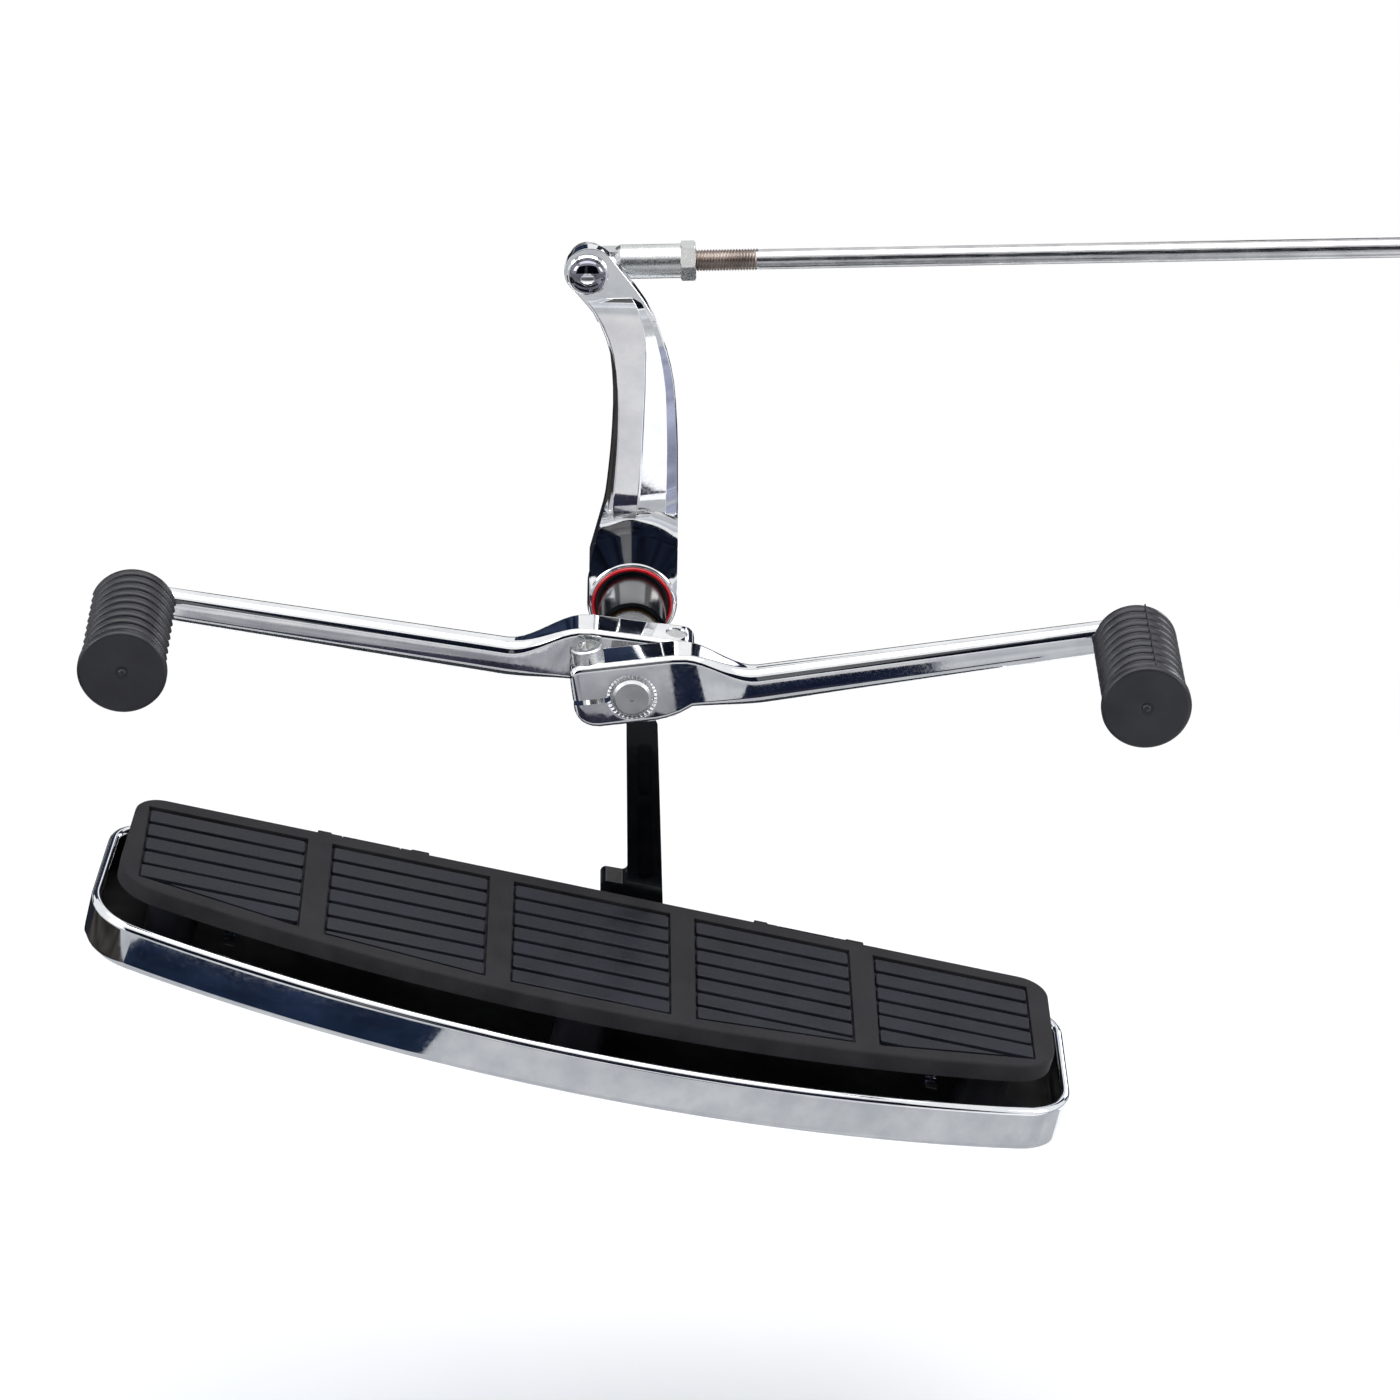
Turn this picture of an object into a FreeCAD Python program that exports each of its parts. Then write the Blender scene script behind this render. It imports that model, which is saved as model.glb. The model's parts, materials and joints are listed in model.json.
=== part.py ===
import FreeCAD, Part
import math
import os
from collections import namedtuple

# Floorboard extension bracket with a folding board and a heel and toe shifter.
# Millimetres and degrees. +X is rearward, +Y is inboard, +Z is up.
# The origin is the middle of the two frame bolts, on the bracket's mounting face.
# The shaft group is laid out from the shaft's axis at the heel clamp's outboard face,
# and the board group from the middle of the pad's inboard top edge.

V = FreeCAD.Vector
X_AXIS = V(1, 0, 0)
Y_AXIS = V(0, 1, 0)
Z_AXIS = V(0, 0, 1)

# Fits
RUNNING = 0.05
LOOSE = 0.3
BOLT_PLAY = 0.15

# Where the shaft stands from the frame bolts
SHAFT_AHEAD = 50.8
SHAFT_ABOVE = 178.0
SHAFT_REACH = 104.0

# Shift shaft
SHAFT_R = 7.8
SHAFT_PROUD = 1.2
SERRATION_COUNT = 36
SERRATION_DEPTH = 0.7
SERRATION_RUN = 6.0
SHAFT_CHAMFER = 1.0
CENTRE_MARK_R = 1.3
CENTRE_MARK_DEPTH = 0.8

# Toe and heel levers
LEVER_REACH = 182.5
CLAMP_THICK = 16.0
CLAMP_TAIL = 21.5
CLAMP_TOP = 14.0
CLAMP_BOTTOM = 11.2
CLAMP_NOSE = 22.0
CLAMP_EDGE = 1.6
CLAMP_NOSE_BOTTOM = 7.6
CLAMP_SLOT = 1.9
CLAMP_ROUND = 4.0
CLAMP_TAIL_ROUND = 8.5
CLAMP_TAPER_LENGTH = 12.0
NECK_LAP_IN = 2.0
CLAMP_GAP = 5.0
BORE_CHAMFER = 1.1
NECK_START = 20.0
NECK_SLICES = 4
NECK_INSET = 0.6
BAR_START = 48.0
BAR_SAG = 4.2
BAR_END_SAG = 0.5
BAR_CORNER = 4.6
BAR_HEIGHT = 14.0
BAR_THICK = 10.5
BAR_END_HEIGHT = 12.0
BAR_END_THICK = 8.6
BAR_END_CORNER = 4.0
BAR_END_BACK = 5.0
EYE_R = 8.5
EYE_THICK = 9.6
HEEL_RISE = 6.8
TOE_RISE = 8.5

# Pinch screws, with socket heads
SCREW_R = 3.97
SCREW_HEAD_R = 6.0
SCREW_HEAD_H = 7.6
SCREW_SOCKET_FLATS = 6.3
SCREW_BACK = 14.5
SPOTFACE_DEPTH = 2.8
LOW_SPOTFACE_DEPTH = 0.8
SPOTFACE_MARGIN = 0.5
SCREW_TIP_GAP = 0.6
SCREW_HEAD_BEVEL = 0.7

# Foot pegs
PEG_R = 16.0
PEG_LENGTH = 54.0
PEG_GROOVES = 9
PEG_GROOVE_DEPTH = 1.5
PEG_GROOVE_WIDTH = 2.0
PEG_CAP = 9.0
PEG_BACK = 3.0
PEG_EDGE = 1.4
NIB_R = 2.4
NIB_TIP_R = 1.44
NIB_H = 0.8
STUD_R = 4.0
STUD_CORE_R = 5.5
STUD_CORE_LENGTH = 42.0
COLLAR_R = 8.0
COLLAR_H = 2.4

# Boss with its bushes, washer and ring
BOSS_R = 12.7
BOSS_START = 52.0
BOSS_LENGTH = 27.0
BUSH_WALL = 1.85
BUSH_LENGTH = 10.0
BUSH_FLANGE = 1.5
BUSH_FLANGE_R = 10.6
WASHER_H = 1.5
WASHER_R = 10.2
RING_H = 1.2
RING_WALL = 2.6
RING_BITE = 1.0
RING_GAP_DEGREES = 50.0

# Inner lever, with its hub round the shaft and its eye at the top
HUB_R = 16.8
HUB_START = 77.0
HUB_LENGTH = 23.0
HUB_CUP_DEPTH = 4.0
HUB_CUP_R = 15.3
HUB_LIP = 0.8
HUB_ROUND = 3.0
HUB_SCREW_R = 3.0
HUB_SCREW_BITE = 0.8
HUB_SCREW_SUNK = 0.8
HUB_SCREW_BEVEL = 0.4
SEAL_PROUD = 0.5
PIN_AHEAD = 15.5
PIN_ABOVE = 130.0
LEVER_EYE_R = 9.4
LEVER_EYE_THICK = 4.8
LEVER_EYE_START = 84.6
EYE_SHIFT = (0.9, 0.8)
NECK_LEFT_ANGLE = 20.0
NECK_RIGHT_ANGLE = 35.0
NECK_ROUND = 14.0
NECK_LAP = 7.0

# Cross-sections of the inner lever's arm, from the hub up: height over the shaft's axis, middle along X,
# width, how far the faces stand in from the hub's front and back, and corner radius
Cut = namedtuple("Cut", "height middle width front back corner")
ARM = (
    Cut(height=3.0, middle=0.2, width=32.6, front=0.6, back=1.0, corner=5.0),
    Cut(height=20.0, middle=1.6, width=29.5, front=1.0, back=1.6, corner=6.0),
    Cut(height=36.0, middle=3.6, width=27.6, front=3.2, back=3.2, corner=6.0),
    Cut(height=66.0, middle=5.0, width=24.2, front=5.4, back=5.4, corner=5.4),
    Cut(height=86.0, middle=4.4, width=22.4, front=6.6, back=7.2, corner=4.4),
    Cut(height=101.0, middle=2.6, width=20.6, front=7.6, back=9.2, corner=2.2),
    Cut(height=108.0, middle=0.0, width=19.6, front=8.0, back=10.0, corner=1.2),
)

# Pin through the eye
PIN_R = 2.6
PIN_HEAD_R = 6.7
PIN_HEAD_H = 3.9
PIN_HEAD_RIM = 0.9
PIN_SOCKET_DEPTH = 2.4
PIN_SOCKET_FLATS = 4.0
PIN_WASHER_R = 7.6
PIN_WASHER_H = 1.3
PIN_NUT_FLATS = 8.0
PIN_NUT_H = 3.2
PIN_END = 0.6

# Linkage rod and its rod ends
ROD_PINS_APART = 350.0
ROD_RISE = 0.9
ROD_R = 3.7
THREAD_R = 3.97
THREAD_END = 62.7
THREAD_START = 15.0
THREAD_BEVEL = 0.6
THREAD_RUNOUT = 0.4
ROD_HEAD_R = 6.9
ROD_HEAD_THICK = 6.2
ROD_NECK_H = 10.4
BARREL_R = 6.3
BARREL_START = 10.5
BARREL_END = 34.0
BARREL_TAPER = 2.5
BARREL_STEP = 0.9
BARREL_ROUND = 1.6
BALL_R = 5.5
BALL_WIDTH = 8.0
BALL_NECK_R = 4.0
BALL_STANDOFF = 6.7
JAM_NUT_FLATS = 13.0
JAM_NUT_H = 5.6
JAM_NUT_TURN = 27.0

# Board group: where it stands, and its slope
BOARD_DROP = 109.7
BOARD_INBOARD = 50.0
BOARD_PITCH = 13.6
BOARD_FORWARD = 0.6

# Plan shapes of the pan and the pad: straight inboard edge, bowed outboard edge
Plan = namedtuple("Plan", "front rear rake inboard apex bow corner_in corner_out")
PAN = Plan(front=-201.4, rear=171.8, rake=5.0, inboard=1.5, apex=103.5, bow=598.0, corner_in=16.0,
           corner_out=24.0)
PAD = Plan(front=-193.4, rear=162.6, rake=4.0, inboard=0.0, apex=89.6, bow=650.0, corner_in=11.0,
           corner_out=20.0)

PAN_TOP = -12.0
PAN_HEIGHT = 18.0
PAN_WALL = 2.4
PAN_FLOOR = 3.0
LIP_WIDTH = 4.3
LIP_HEIGHT = 3.2
LIP_ROUND = 1.5
PAN_FOOT_BEVEL = 2.0

PAD_THICK = 7.0
PAD_EDGE = 1.0
PANELS = 5
PANEL_LENGTH = 60.6
BAND_WIDTH = 9.1
PANEL_BORDER = 5.0
FIRST_GROOVE = 9.0
RIB_PITCH = 10.6
GROOVE_WIDTH = 2.4
GROOVE_DEPTH = 1.8
RIB_END_GAP = 0.9
RIB_CORNER = 2.0
SHORTEST_RIB = 12.0

PLATE_THICK = 2.0
PLATE_INSET = 4.0
ISOLATOR_R = 9.5
ISOLATOR_INSET = 16.0
ISOLATOR_FROM_END = 24.0
ISOLATOR_STUD_R = 3.0
ISOLATOR_NUT_FLATS = 10.0
ISOLATOR_NUT_H = 5.0
STUD_PROUD = 7.5
CLIP_WIDTH = 4.0
CLIP_METAL = 1.0
CLIP_REACH = 5.0
CLIP_DROP = 6.0
CLIP_FROM_ISOLATOR = 21.5
CLIP_BEND = 0.8
CLIP_TIP = 3.4

# Fold: knuckles on the rail, forks on the pan
FOLD_AXIS_INBOARD = 9.5
FOLD_AXIS_DROP = 13.0
KNUCKLE_R = 7.0
KNUCKLE_LENGTH = 22.0
HINGE_SPREAD = 85.0
HINGE_BOLT_R = 4.0
HINGE_BOLT_FLATS = 13.0
HINGE_HEAD_H = 5.3
HINGE_NUT_H = 7.0
HINGE_BOLT_PROUD = 2.0
FORK_METAL = 4.0
FORK_SIDE_GAP = 0.4
FORK_TONGUE = 3.4
FORK_TONGUE_REACH = 24.0
FORK_CORNER = 6.0
FORK_ROUND = 5.0
CSK_R = 2.5
CSK_HEAD_R = 5.0
CSK_SPREAD = 8.0
CSK_BACK = 14.4
STOP_R = 4.5
STOP_DROP = 24.5
POST_FACE = 4.0
POST_LAP = 5.0
POST_ROUND = 3.0
POST_BACK_DROP = 8.0
POST_FACE_DROP = 7.0
STOP_GAP = 0.2

RAIL_TOP = -38.0
RAIL_HEIGHT = 20.0
RAIL_THICK = 9.0
RAIL_ROUND = 9.0
RAIL_OVERHANG = 20.0
RAIL_SCREW_R = 4.0
RAIL_SCREW_FLATS = 13.0
RAIL_SCREW_HEAD = 5.3
RAIL_SCREW_AT = (12.0, 64.5)

# Bracket plate and bar
PLATE_FACE = 17.0
BRACKET_THICK = 12.0
BAR_LEFT = -2.4
BAR_TOP_RIGHT = 6.9
BAR_RIGHT = 9.4
BAR_FOOT_RIGHT = 11.2
BAR_STEP_TOP = -45.6
BAR_STEP_BOTTOM = -51.5
BAR_TOP = -4.0
BAR_FOOT = -133.0
GUSSET_X = 26.0
GUSSET_Z = -146.0
RECESS_BREAK = (-76.0, -79.5)
RECESS_LEFT = 1.6
RECESS_RIGHT = 7.2
RECESS_DEPTH = 2.0
TAB_LEFT = -12.8
TAB_TOP = -112.0
TAB_HEIGHT = 44.0
TAB_ROUND = 12.0
FOOT_FRONT = 14.0
FOOT_ROUND = 11.0
MOUNT_SPACING = 44.0
MOUNT_BOSS_R = 12.0
MOUNT_HOLE_R = 4.76
MOUNT_HOLE_DEPTH = 26.0


def cylinder(radius, start, axis, length):
    return Part.makeCylinder(radius, length, start, axis)


def box(x0, x1, y0, y1, z0, z1):
    return Part.makeBox(x1 - x0, y1 - y0, z1 - z0, V(x0, y0, z0))


def rounded_wire(corners, place):
    """Closed outline through (u, w, radius) corners, each corner an arc, set in space by place(u, w)."""
    count = len(corners)
    runs = []
    for i, (u, w, radius) in enumerate(corners):
        before = corners[i - 1]
        after = corners[(i + 1) % count]
        here = V(u, w, 0)
        back = (V(before[0], before[1], 0) - here).normalize()
        ahead = (V(after[0], after[1], 0) - here).normalize()
        if radius == 0:
            runs.append((here, here, here))
            continue
        half = back.getAngle(ahead) / 2
        setback = radius / math.tan(half)
        inward = (back + ahead).normalize()
        middle = here + inward * (radius / math.sin(half) - radius)
        runs.append((here + back * setback, middle, here + ahead * setback))
    edges = []
    for i, (start, middle, end) in enumerate(runs):
        following = runs[(i + 1) % count][0]
        if (end - start).Length > 1e-6:
            arc = Part.Arc(place(start.x, start.y), place(middle.x, middle.y), place(end.x, end.y))
            edges.append(arc.toShape())
        if (following - end).Length > 1e-6:
            edges.append(Part.makeLine(place(end.x, end.y), place(following.x, following.y)))
    return Part.Wire(edges)


def side_prism(corners, y0, y1):
    """Prism along Y from an outline of (x, z, radius) corners."""
    wire = rounded_wire(corners, lambda x, z: V(x, y0, z))
    return Part.Face(wire).extrude(V(0, y1 - y0, 0))


def end_prism(corners, x0, x1):
    """Prism along X from an outline of (y, z, radius) corners."""
    wire = rounded_wire(corners, lambda y, z: V(x0, y, z))
    return Part.Face(wire).extrude(V(x1 - x0, 0, 0))


def turned(profile, centre, axis, along):
    """Solid of revolution from (radius, distance) points; along is the axis and axis the radial direction."""
    points = [centre + axis * radius + along * distance for radius, distance in profile]
    face = Part.Face(Part.makePolygon(points + [points[0]]))
    return face.revolve(centre, along, 360)


def turned_y(profile, x=0.0, z=0.0):
    """Revolve (radius, y) points about the line along Y through x, z."""
    return turned(profile, V(x, 0, z), X_AXIS, Y_AXIS)


def turned_z(profile, x, y):
    """Revolve (radius, z) points about the upright line through x, y."""
    return turned(profile, V(x, y, 0), X_AXIS, Z_AXIS)


def turned_x(profile, y=0.0, z=0.0):
    """Revolve (radius, x) points about the line along X through y, z."""
    return turned(profile, V(0, y, z), Y_AXIS, X_AXIS)


def hexagon(flats, start, along, height, turn=0.0):
    """Hexagonal prism standing on start."""
    side = Y_AXIS if abs(along.y) < 0.5 else X_AXIS
    corner = side * (flats / math.sqrt(3))
    points = [start + FreeCAD.Rotation(along, 60 * i + turn).multVec(corner) for i in range(7)]
    return Part.Face(Part.makePolygon(points)).extrude(along * height)


def nut(flats, height, bore_r, start, along, turn=0.0):
    return hexagon(flats, start, along, height, turn).cut(cylinder(bore_r, start, along, height))


def mix(first, second, share):
    return first + (second - first) * share


def section(x, z, height, thick, corner_r, y_centre):
    """Rounded rectangle across the lever at x, for lofting along it."""
    half_t = thick / 2
    half_h = height / 2
    corners = [(y_centre - half_t, z - half_h, corner_r), (y_centre + half_t, z - half_h, corner_r),
               (y_centre + half_t, z + half_h, corner_r), (y_centre - half_t, z + half_h, corner_r)]
    return rounded_wire(corners, lambda y, w: V(x, y, w))


def level_section(x, z, width, y_front, y_back, corner_r):
    """Rounded rectangle across the inner lever at height z."""
    half = width / 2
    corners = [(x - half, y_front, corner_r), (x + half, y_front, corner_r),
               (x + half, y_back, corner_r), (x - half, y_back, corner_r)]
    return rounded_wire(corners, lambda u, w: V(u, w, z))


# Plan shapes of the board group

def bow_depth(plan, x, inset=0.0):
    """Outboard distance of the bowed edge at x."""
    middle = (plan.front + plan.rear) / 2
    radius = plan.bow - inset
    return plan.apex - plan.bow + math.sqrt(radius ** 2 - (x - middle) ** 2)


def bow_reach(plan, depth, inset):
    """Half length over which the bowed edge, moved in by inset, lies outboard of depth."""
    rise = depth - plan.apex + plan.bow
    return math.sqrt(max((plan.bow - inset) ** 2 - rise ** 2, 0.0))


def plan_prism(plan, inset, z0, z1):
    """Prism of a plan shape moved in by inset, with its four corners rounded and its front edge raked."""
    front = plan.front + inset
    rear = plan.rear - inset
    middle = (plan.front + plan.rear) / 2
    y_in = plan.inboard - inset
    a = V(front + plan.rake, y_in, z0)
    b = V(rear, y_in, z0)
    c = V(rear, -bow_depth(plan, rear, inset), z0)
    d = V(front, -bow_depth(plan, front, inset), z0)
    bow = Part.Arc(c, V(middle, -bow_depth(plan, middle, inset), z0), d).toShape()
    wire = Part.Wire([Part.makeLine(a, b), Part.makeLine(b, c), bow, Part.makeLine(d, a)])
    prism = Part.Face(wire).extrude(V(0, 0, z1 - z0))
    for corners, radius in (((a, b), plan.corner_in - inset), ((c, d), plan.corner_out - inset)):
        edges = [e for e in prism.Edges for p in corners if stands_at(e, p)]
        prism = prism.makeFillet(max(radius, 1.0), edges)
    return prism


def stands_at(edge, point):
    """True for a straight upright edge over the given plan point."""
    first = edge.Vertexes[0].Point
    last = edge.Vertexes[-1].Point
    upright = abs(first.x - last.x) < 1e-4 and abs(first.y - last.y) < 1e-4
    return upright and abs(first.x - point.x) < 1e-3 and abs(first.y - point.y) < 1e-3


def rim_edges(solid, z):
    """Edges that lie wholly at height z."""
    return [e for e in solid.Edges if abs(e.BoundBox.ZMin - z) < 1e-3 and abs(e.BoundBox.ZMax - z) < 1e-3]


# Levers, in their own frame: the shaft along Y through the origin, the peg at LEVER_REACH along +X

SHAFT_BORE_R = SHAFT_R + 0.02

# Where a pinch screw's head seats, which way the head points, and where its threads end
Pinch = namedtuple("Pinch", "seat way end")
HEEL_PINCH = Pinch(seat=CLAMP_TOP - SPOTFACE_DEPTH, way=1, end=-CLAMP_BOTTOM)
TOE_PINCH = Pinch(seat=LOW_SPOTFACE_DEPTH - CLAMP_BOTTOM, way=-1, end=CLAMP_TOP)

LEVER_MID = CLAMP_THICK / 2
PEG_FACE = LEVER_MID - EYE_THICK / 2


def foot_lever(pinch):
    """Forged lever: a slotted clamp, a neck that thins and falls, and a rounded bar to the peg's eye."""
    nose = CLAMP_NOSE + NECK_LAP_IN
    block = side_prism([(-CLAMP_TAIL, CLAMP_TOP, CLAMP_ROUND),
                        (-CLAMP_TAIL, -CLAMP_BOTTOM, CLAMP_TAIL_ROUND),
                        (CLAMP_NOSE - CLAMP_TAPER_LENGTH, -CLAMP_BOTTOM, CLAMP_ROUND),
                        (nose, -CLAMP_NOSE_BOTTOM, 0),
                        (nose, CLAMP_TOP, 0)], 0, CLAMP_THICK)
    rims = [e for e in block.Edges if abs(e.BoundBox.YMin - e.BoundBox.YMax) < 1e-4]
    block = block.makeChamfer(CLAMP_EDGE, [e for e in rims if e.BoundBox.XMin < nose - 0.1])
    slices = []
    for i in range(NECK_SLICES + 1):
        along = i / NECK_SLICES
        share = along * along * (3 - 2 * along)
        high = mix(CLAMP_TOP + CLAMP_NOSE_BOTTOM - NECK_INSET, BAR_HEIGHT, share)
        middle = mix((CLAMP_TOP - CLAMP_NOSE_BOTTOM) / 2, -BAR_SAG, share)
        slices.append(section(mix(NECK_START, BAR_START, along), middle, high,
                              mix(CLAMP_THICK - NECK_INSET, BAR_THICK, share),
                              mix(CLAMP_EDGE, BAR_CORNER, share), LEVER_MID))
    slices.append(section(LEVER_REACH - BAR_END_BACK, -BAR_END_SAG, BAR_END_HEIGHT, BAR_END_THICK,
                          BAR_END_CORNER, LEVER_MID))
    arm = Part.makeLoft(slices, True, True)
    eye = cylinder(EYE_R, V(LEVER_REACH, PEG_FACE, 0), Y_AXIS, EYE_THICK)
    lever = block.fuse([arm, eye])
    bore = cylinder(SHAFT_BORE_R, V(0, -1, 0), Y_AXIS, CLAMP_THICK + 2)
    lead_r = SHAFT_BORE_R + BORE_CHAMFER
    lead = turned_y([(0, -0.01), (lead_r, -0.01), (SHAFT_BORE_R, BORE_CHAMFER), (0, BORE_CHAMFER)])
    slot = box(-CLAMP_TAIL - 1, 0, -1, CLAMP_THICK + 1, -CLAMP_SLOT / 2, CLAMP_SLOT / 2)
    outward = Z_AXIS * pinch.way
    spot = cylinder(SCREW_HEAD_R + SPOTFACE_MARGIN, V(-SCREW_BACK, LEVER_MID, pinch.seat), outward,
                    CLAMP_TOP)
    clearance = cylinder(SCREW_R + BOLT_PLAY, V(-SCREW_BACK, LEVER_MID, 0), outward, CLAMP_TOP)
    tapped = cylinder(SCREW_R, V(-SCREW_BACK, LEVER_MID, 0), -outward, CLAMP_TOP + 1)
    stud_hole = cylinder(STUD_R, V(LEVER_REACH, PEG_FACE - 1, 0), Y_AXIS, EYE_THICK + 2)
    return lever.cut([bore, lead, slot, spot, clearance, tapped, stud_hole]).removeSplitter()


def pinch_screw(pinch):
    """Socket head cap screw standing on the clamp's spot face."""
    shank = abs(pinch.seat - pinch.end) - SCREW_TIP_GAP
    profile = [(0, -shank), (SCREW_R, -shank), (SCREW_R, 0), (SCREW_HEAD_R, 0),
               (SCREW_HEAD_R, SCREW_HEAD_H - SCREW_HEAD_BEVEL),
               (SCREW_HEAD_R - SCREW_HEAD_BEVEL, SCREW_HEAD_H), (0, SCREW_HEAD_H)]
    seat = V(-SCREW_BACK, LEVER_MID, pinch.seat)
    outward = Z_AXIS * pinch.way
    socket = hexagon(SCREW_SOCKET_FLATS, seat + outward * (SCREW_HEAD_H / 2), outward, SCREW_HEAD_H)
    return turned(profile, seat, X_AXIS, outward).cut(socket)


def peg_rubber():
    """Rubber peg with rings round it, a plain cap and a hollow for its stud."""
    back = PEG_FACE - COLLAR_H
    cap = back - PEG_LENGTH
    pitch = (PEG_LENGTH - PEG_CAP - PEG_BACK) / PEG_GROOVES
    profile = [(0, cap), (PEG_R - PEG_EDGE, cap), (PEG_R, cap + PEG_EDGE)]
    for i in range(PEG_GROOVES):
        start = cap + PEG_CAP + i * pitch
        profile += [(PEG_R, start), (PEG_R - PEG_GROOVE_DEPTH, start + PEG_GROOVE_WIDTH / 2),
                    (PEG_R, start + PEG_GROOVE_WIDTH)]
    profile += [(PEG_R, back), (0, back)]
    body = turned_y(profile, LEVER_REACH)
    nib = turned_y([(0, cap + 0.1), (0, cap - NIB_H), (NIB_TIP_R, cap - NIB_H), (NIB_R, cap + 0.1)],
                   LEVER_REACH)
    hollow = cylinder(STUD_CORE_R, V(LEVER_REACH, back - STUD_CORE_LENGTH, 0), Y_AXIS, STUD_CORE_LENGTH)
    return body.fuse(nib).cut(hollow).removeSplitter()


def peg_stud():
    """Shouldered stud: threaded through the lever's eye, a collar, and a core inside the rubber."""
    back = PEG_FACE - COLLAR_H
    far = PEG_FACE + EYE_THICK
    profile = [(0, back - STUD_CORE_LENGTH), (STUD_CORE_R, back - STUD_CORE_LENGTH), (STUD_CORE_R, back),
               (COLLAR_R, back), (COLLAR_R, PEG_FACE), (STUD_R, PEG_FACE), (STUD_R, far), (0, far)]
    return turned_y(profile, LEVER_REACH)


TOE_FACE = CLAMP_THICK + CLAMP_GAP


def on_heel(shape):
    """Sets a lever piece as the heel lever, rising rearward."""
    placed = shape.copy()
    placed.rotate(V(0, 0, 0), Y_AXIS, -HEEL_RISE)
    return placed


def on_toe(shape):
    """Sets a lever piece, mirrored, as the toe lever, rising forward and lying inboard of the other."""
    placed = shape.mirror(V(0, 0, 0), X_AXIS)
    placed.rotate(V(0, 0, 0), Y_AXIS, TOE_RISE)
    placed.translate(V(0, TOE_FACE, 0))
    return placed


# Shaft with the pieces that hold it in the boss

BUSH_R = SHAFT_R + BUSH_WALL
BOSS_END = BOSS_START + BOSS_LENGTH
CUP_FLOOR = HUB_START + HUB_CUP_DEPTH
WASHER_START = BOSS_START - BUSH_FLANGE - RUNNING - WASHER_H
RING_START = WASHER_START - RING_H
SHAFT_END = HUB_START + HUB_LENGTH - 4.0
HUB_SCREW_Y = HUB_START + HUB_LENGTH * 0.6


def shift_shaft():
    """Round shaft, serrated for the clamps, grooved for the ring and dimpled for the hub's screw."""
    out = -SHAFT_PROUD
    teeth_start = out + SHAFT_CHAMFER
    teeth_end = TOE_FACE + CLAMP_THICK + SERRATION_RUN
    root_r = SHAFT_R - SERRATION_DEPTH
    points = []
    for i in range(2 * SERRATION_COUNT):
        radius = SHAFT_R if i % 2 == 0 else root_r
        angle = math.pi * i / SERRATION_COUNT
        points.append(V(radius * math.sin(angle), teeth_start, radius * math.cos(angle)))
    teeth = Part.Face(Part.makePolygon(points + [points[0]])).extrude(V(0, teeth_end - teeth_start, 0))
    nose = turned_y([(0, out), (root_r - SHAFT_CHAMFER, out), (root_r - 0.02, teeth_start),
                     (0, teeth_start)])
    plain = cylinder(SHAFT_R, V(0, teeth_end, 0), Y_AXIS, SHAFT_END - teeth_end)
    mark = cylinder(CENTRE_MARK_R, V(0, out - 1, 0), Y_AXIS, 1 + CENTRE_MARK_DEPTH)
    groove = cylinder(SHAFT_R + 1, V(0, RING_START, 0), Y_AXIS, RING_H)
    groove = groove.cut(cylinder(SHAFT_R - RING_BITE, V(0, RING_START, 0), Y_AXIS, RING_H))
    dimple = cylinder(HUB_SCREW_R, V(0, HUB_SCREW_Y, -SHAFT_R - 1), Z_AXIS, 1 + HUB_SCREW_BITE)
    return teeth.fuse([nose, plain]).cut([mark, groove, dimple]).removeSplitter()


def bush(flange_y, inward):
    """Flanged bush with its flange outside the boss and its sleeve inside it."""
    bore_r = SHAFT_R + RUNNING
    end = flange_y + inward * BUSH_LENGTH
    outer = flange_y - inward * BUSH_FLANGE
    return turned_y([(bore_r, outer), (BUSH_FLANGE_R, outer), (BUSH_FLANGE_R, flange_y),
                     (BUSH_R, flange_y), (BUSH_R, end), (bore_r, end)])


def thrust_washer():
    bore_r = SHAFT_R + RUNNING
    end = WASHER_START + WASHER_H
    return turned_y([(bore_r, WASHER_START), (WASHER_R, WASHER_START), (WASHER_R, end), (bore_r, end)])


def retaining_ring():
    """Open spring ring in the shaft's groove."""
    inner = SHAFT_R - RING_BITE
    outer = inner + RING_WALL
    ring = cylinder(outer, V(0, RING_START, 0), Y_AXIS, RING_H)
    ring = ring.cut(cylinder(inner, V(0, RING_START, 0), Y_AXIS, RING_H))
    half = math.radians(RING_GAP_DEGREES / 2)
    far = 2 * outer
    wedge = [V(0, RING_START, 0), V(far * math.sin(-half), RING_START, -far * math.cos(half)),
             V(far * math.sin(half), RING_START, -far * math.cos(half)), V(0, RING_START, 0)]
    return ring.cut(Part.Face(Part.makePolygon(wedge)).extrude(V(0, RING_H, 0)))


def seal_ring():
    """Wiper ring pressed in the hub's cup and running on the boss."""
    inner = BOSS_R + RUNNING
    front = HUB_START - SEAL_PROUD
    back = BOSS_END - LOOSE
    bulge = (HUB_CUP_R - inner) / 3
    return turned_y([(inner, front + bulge), (inner + bulge, front), (HUB_CUP_R - bulge, front),
                     (HUB_CUP_R, front + bulge), (HUB_CUP_R, back), (inner, back)])


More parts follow.
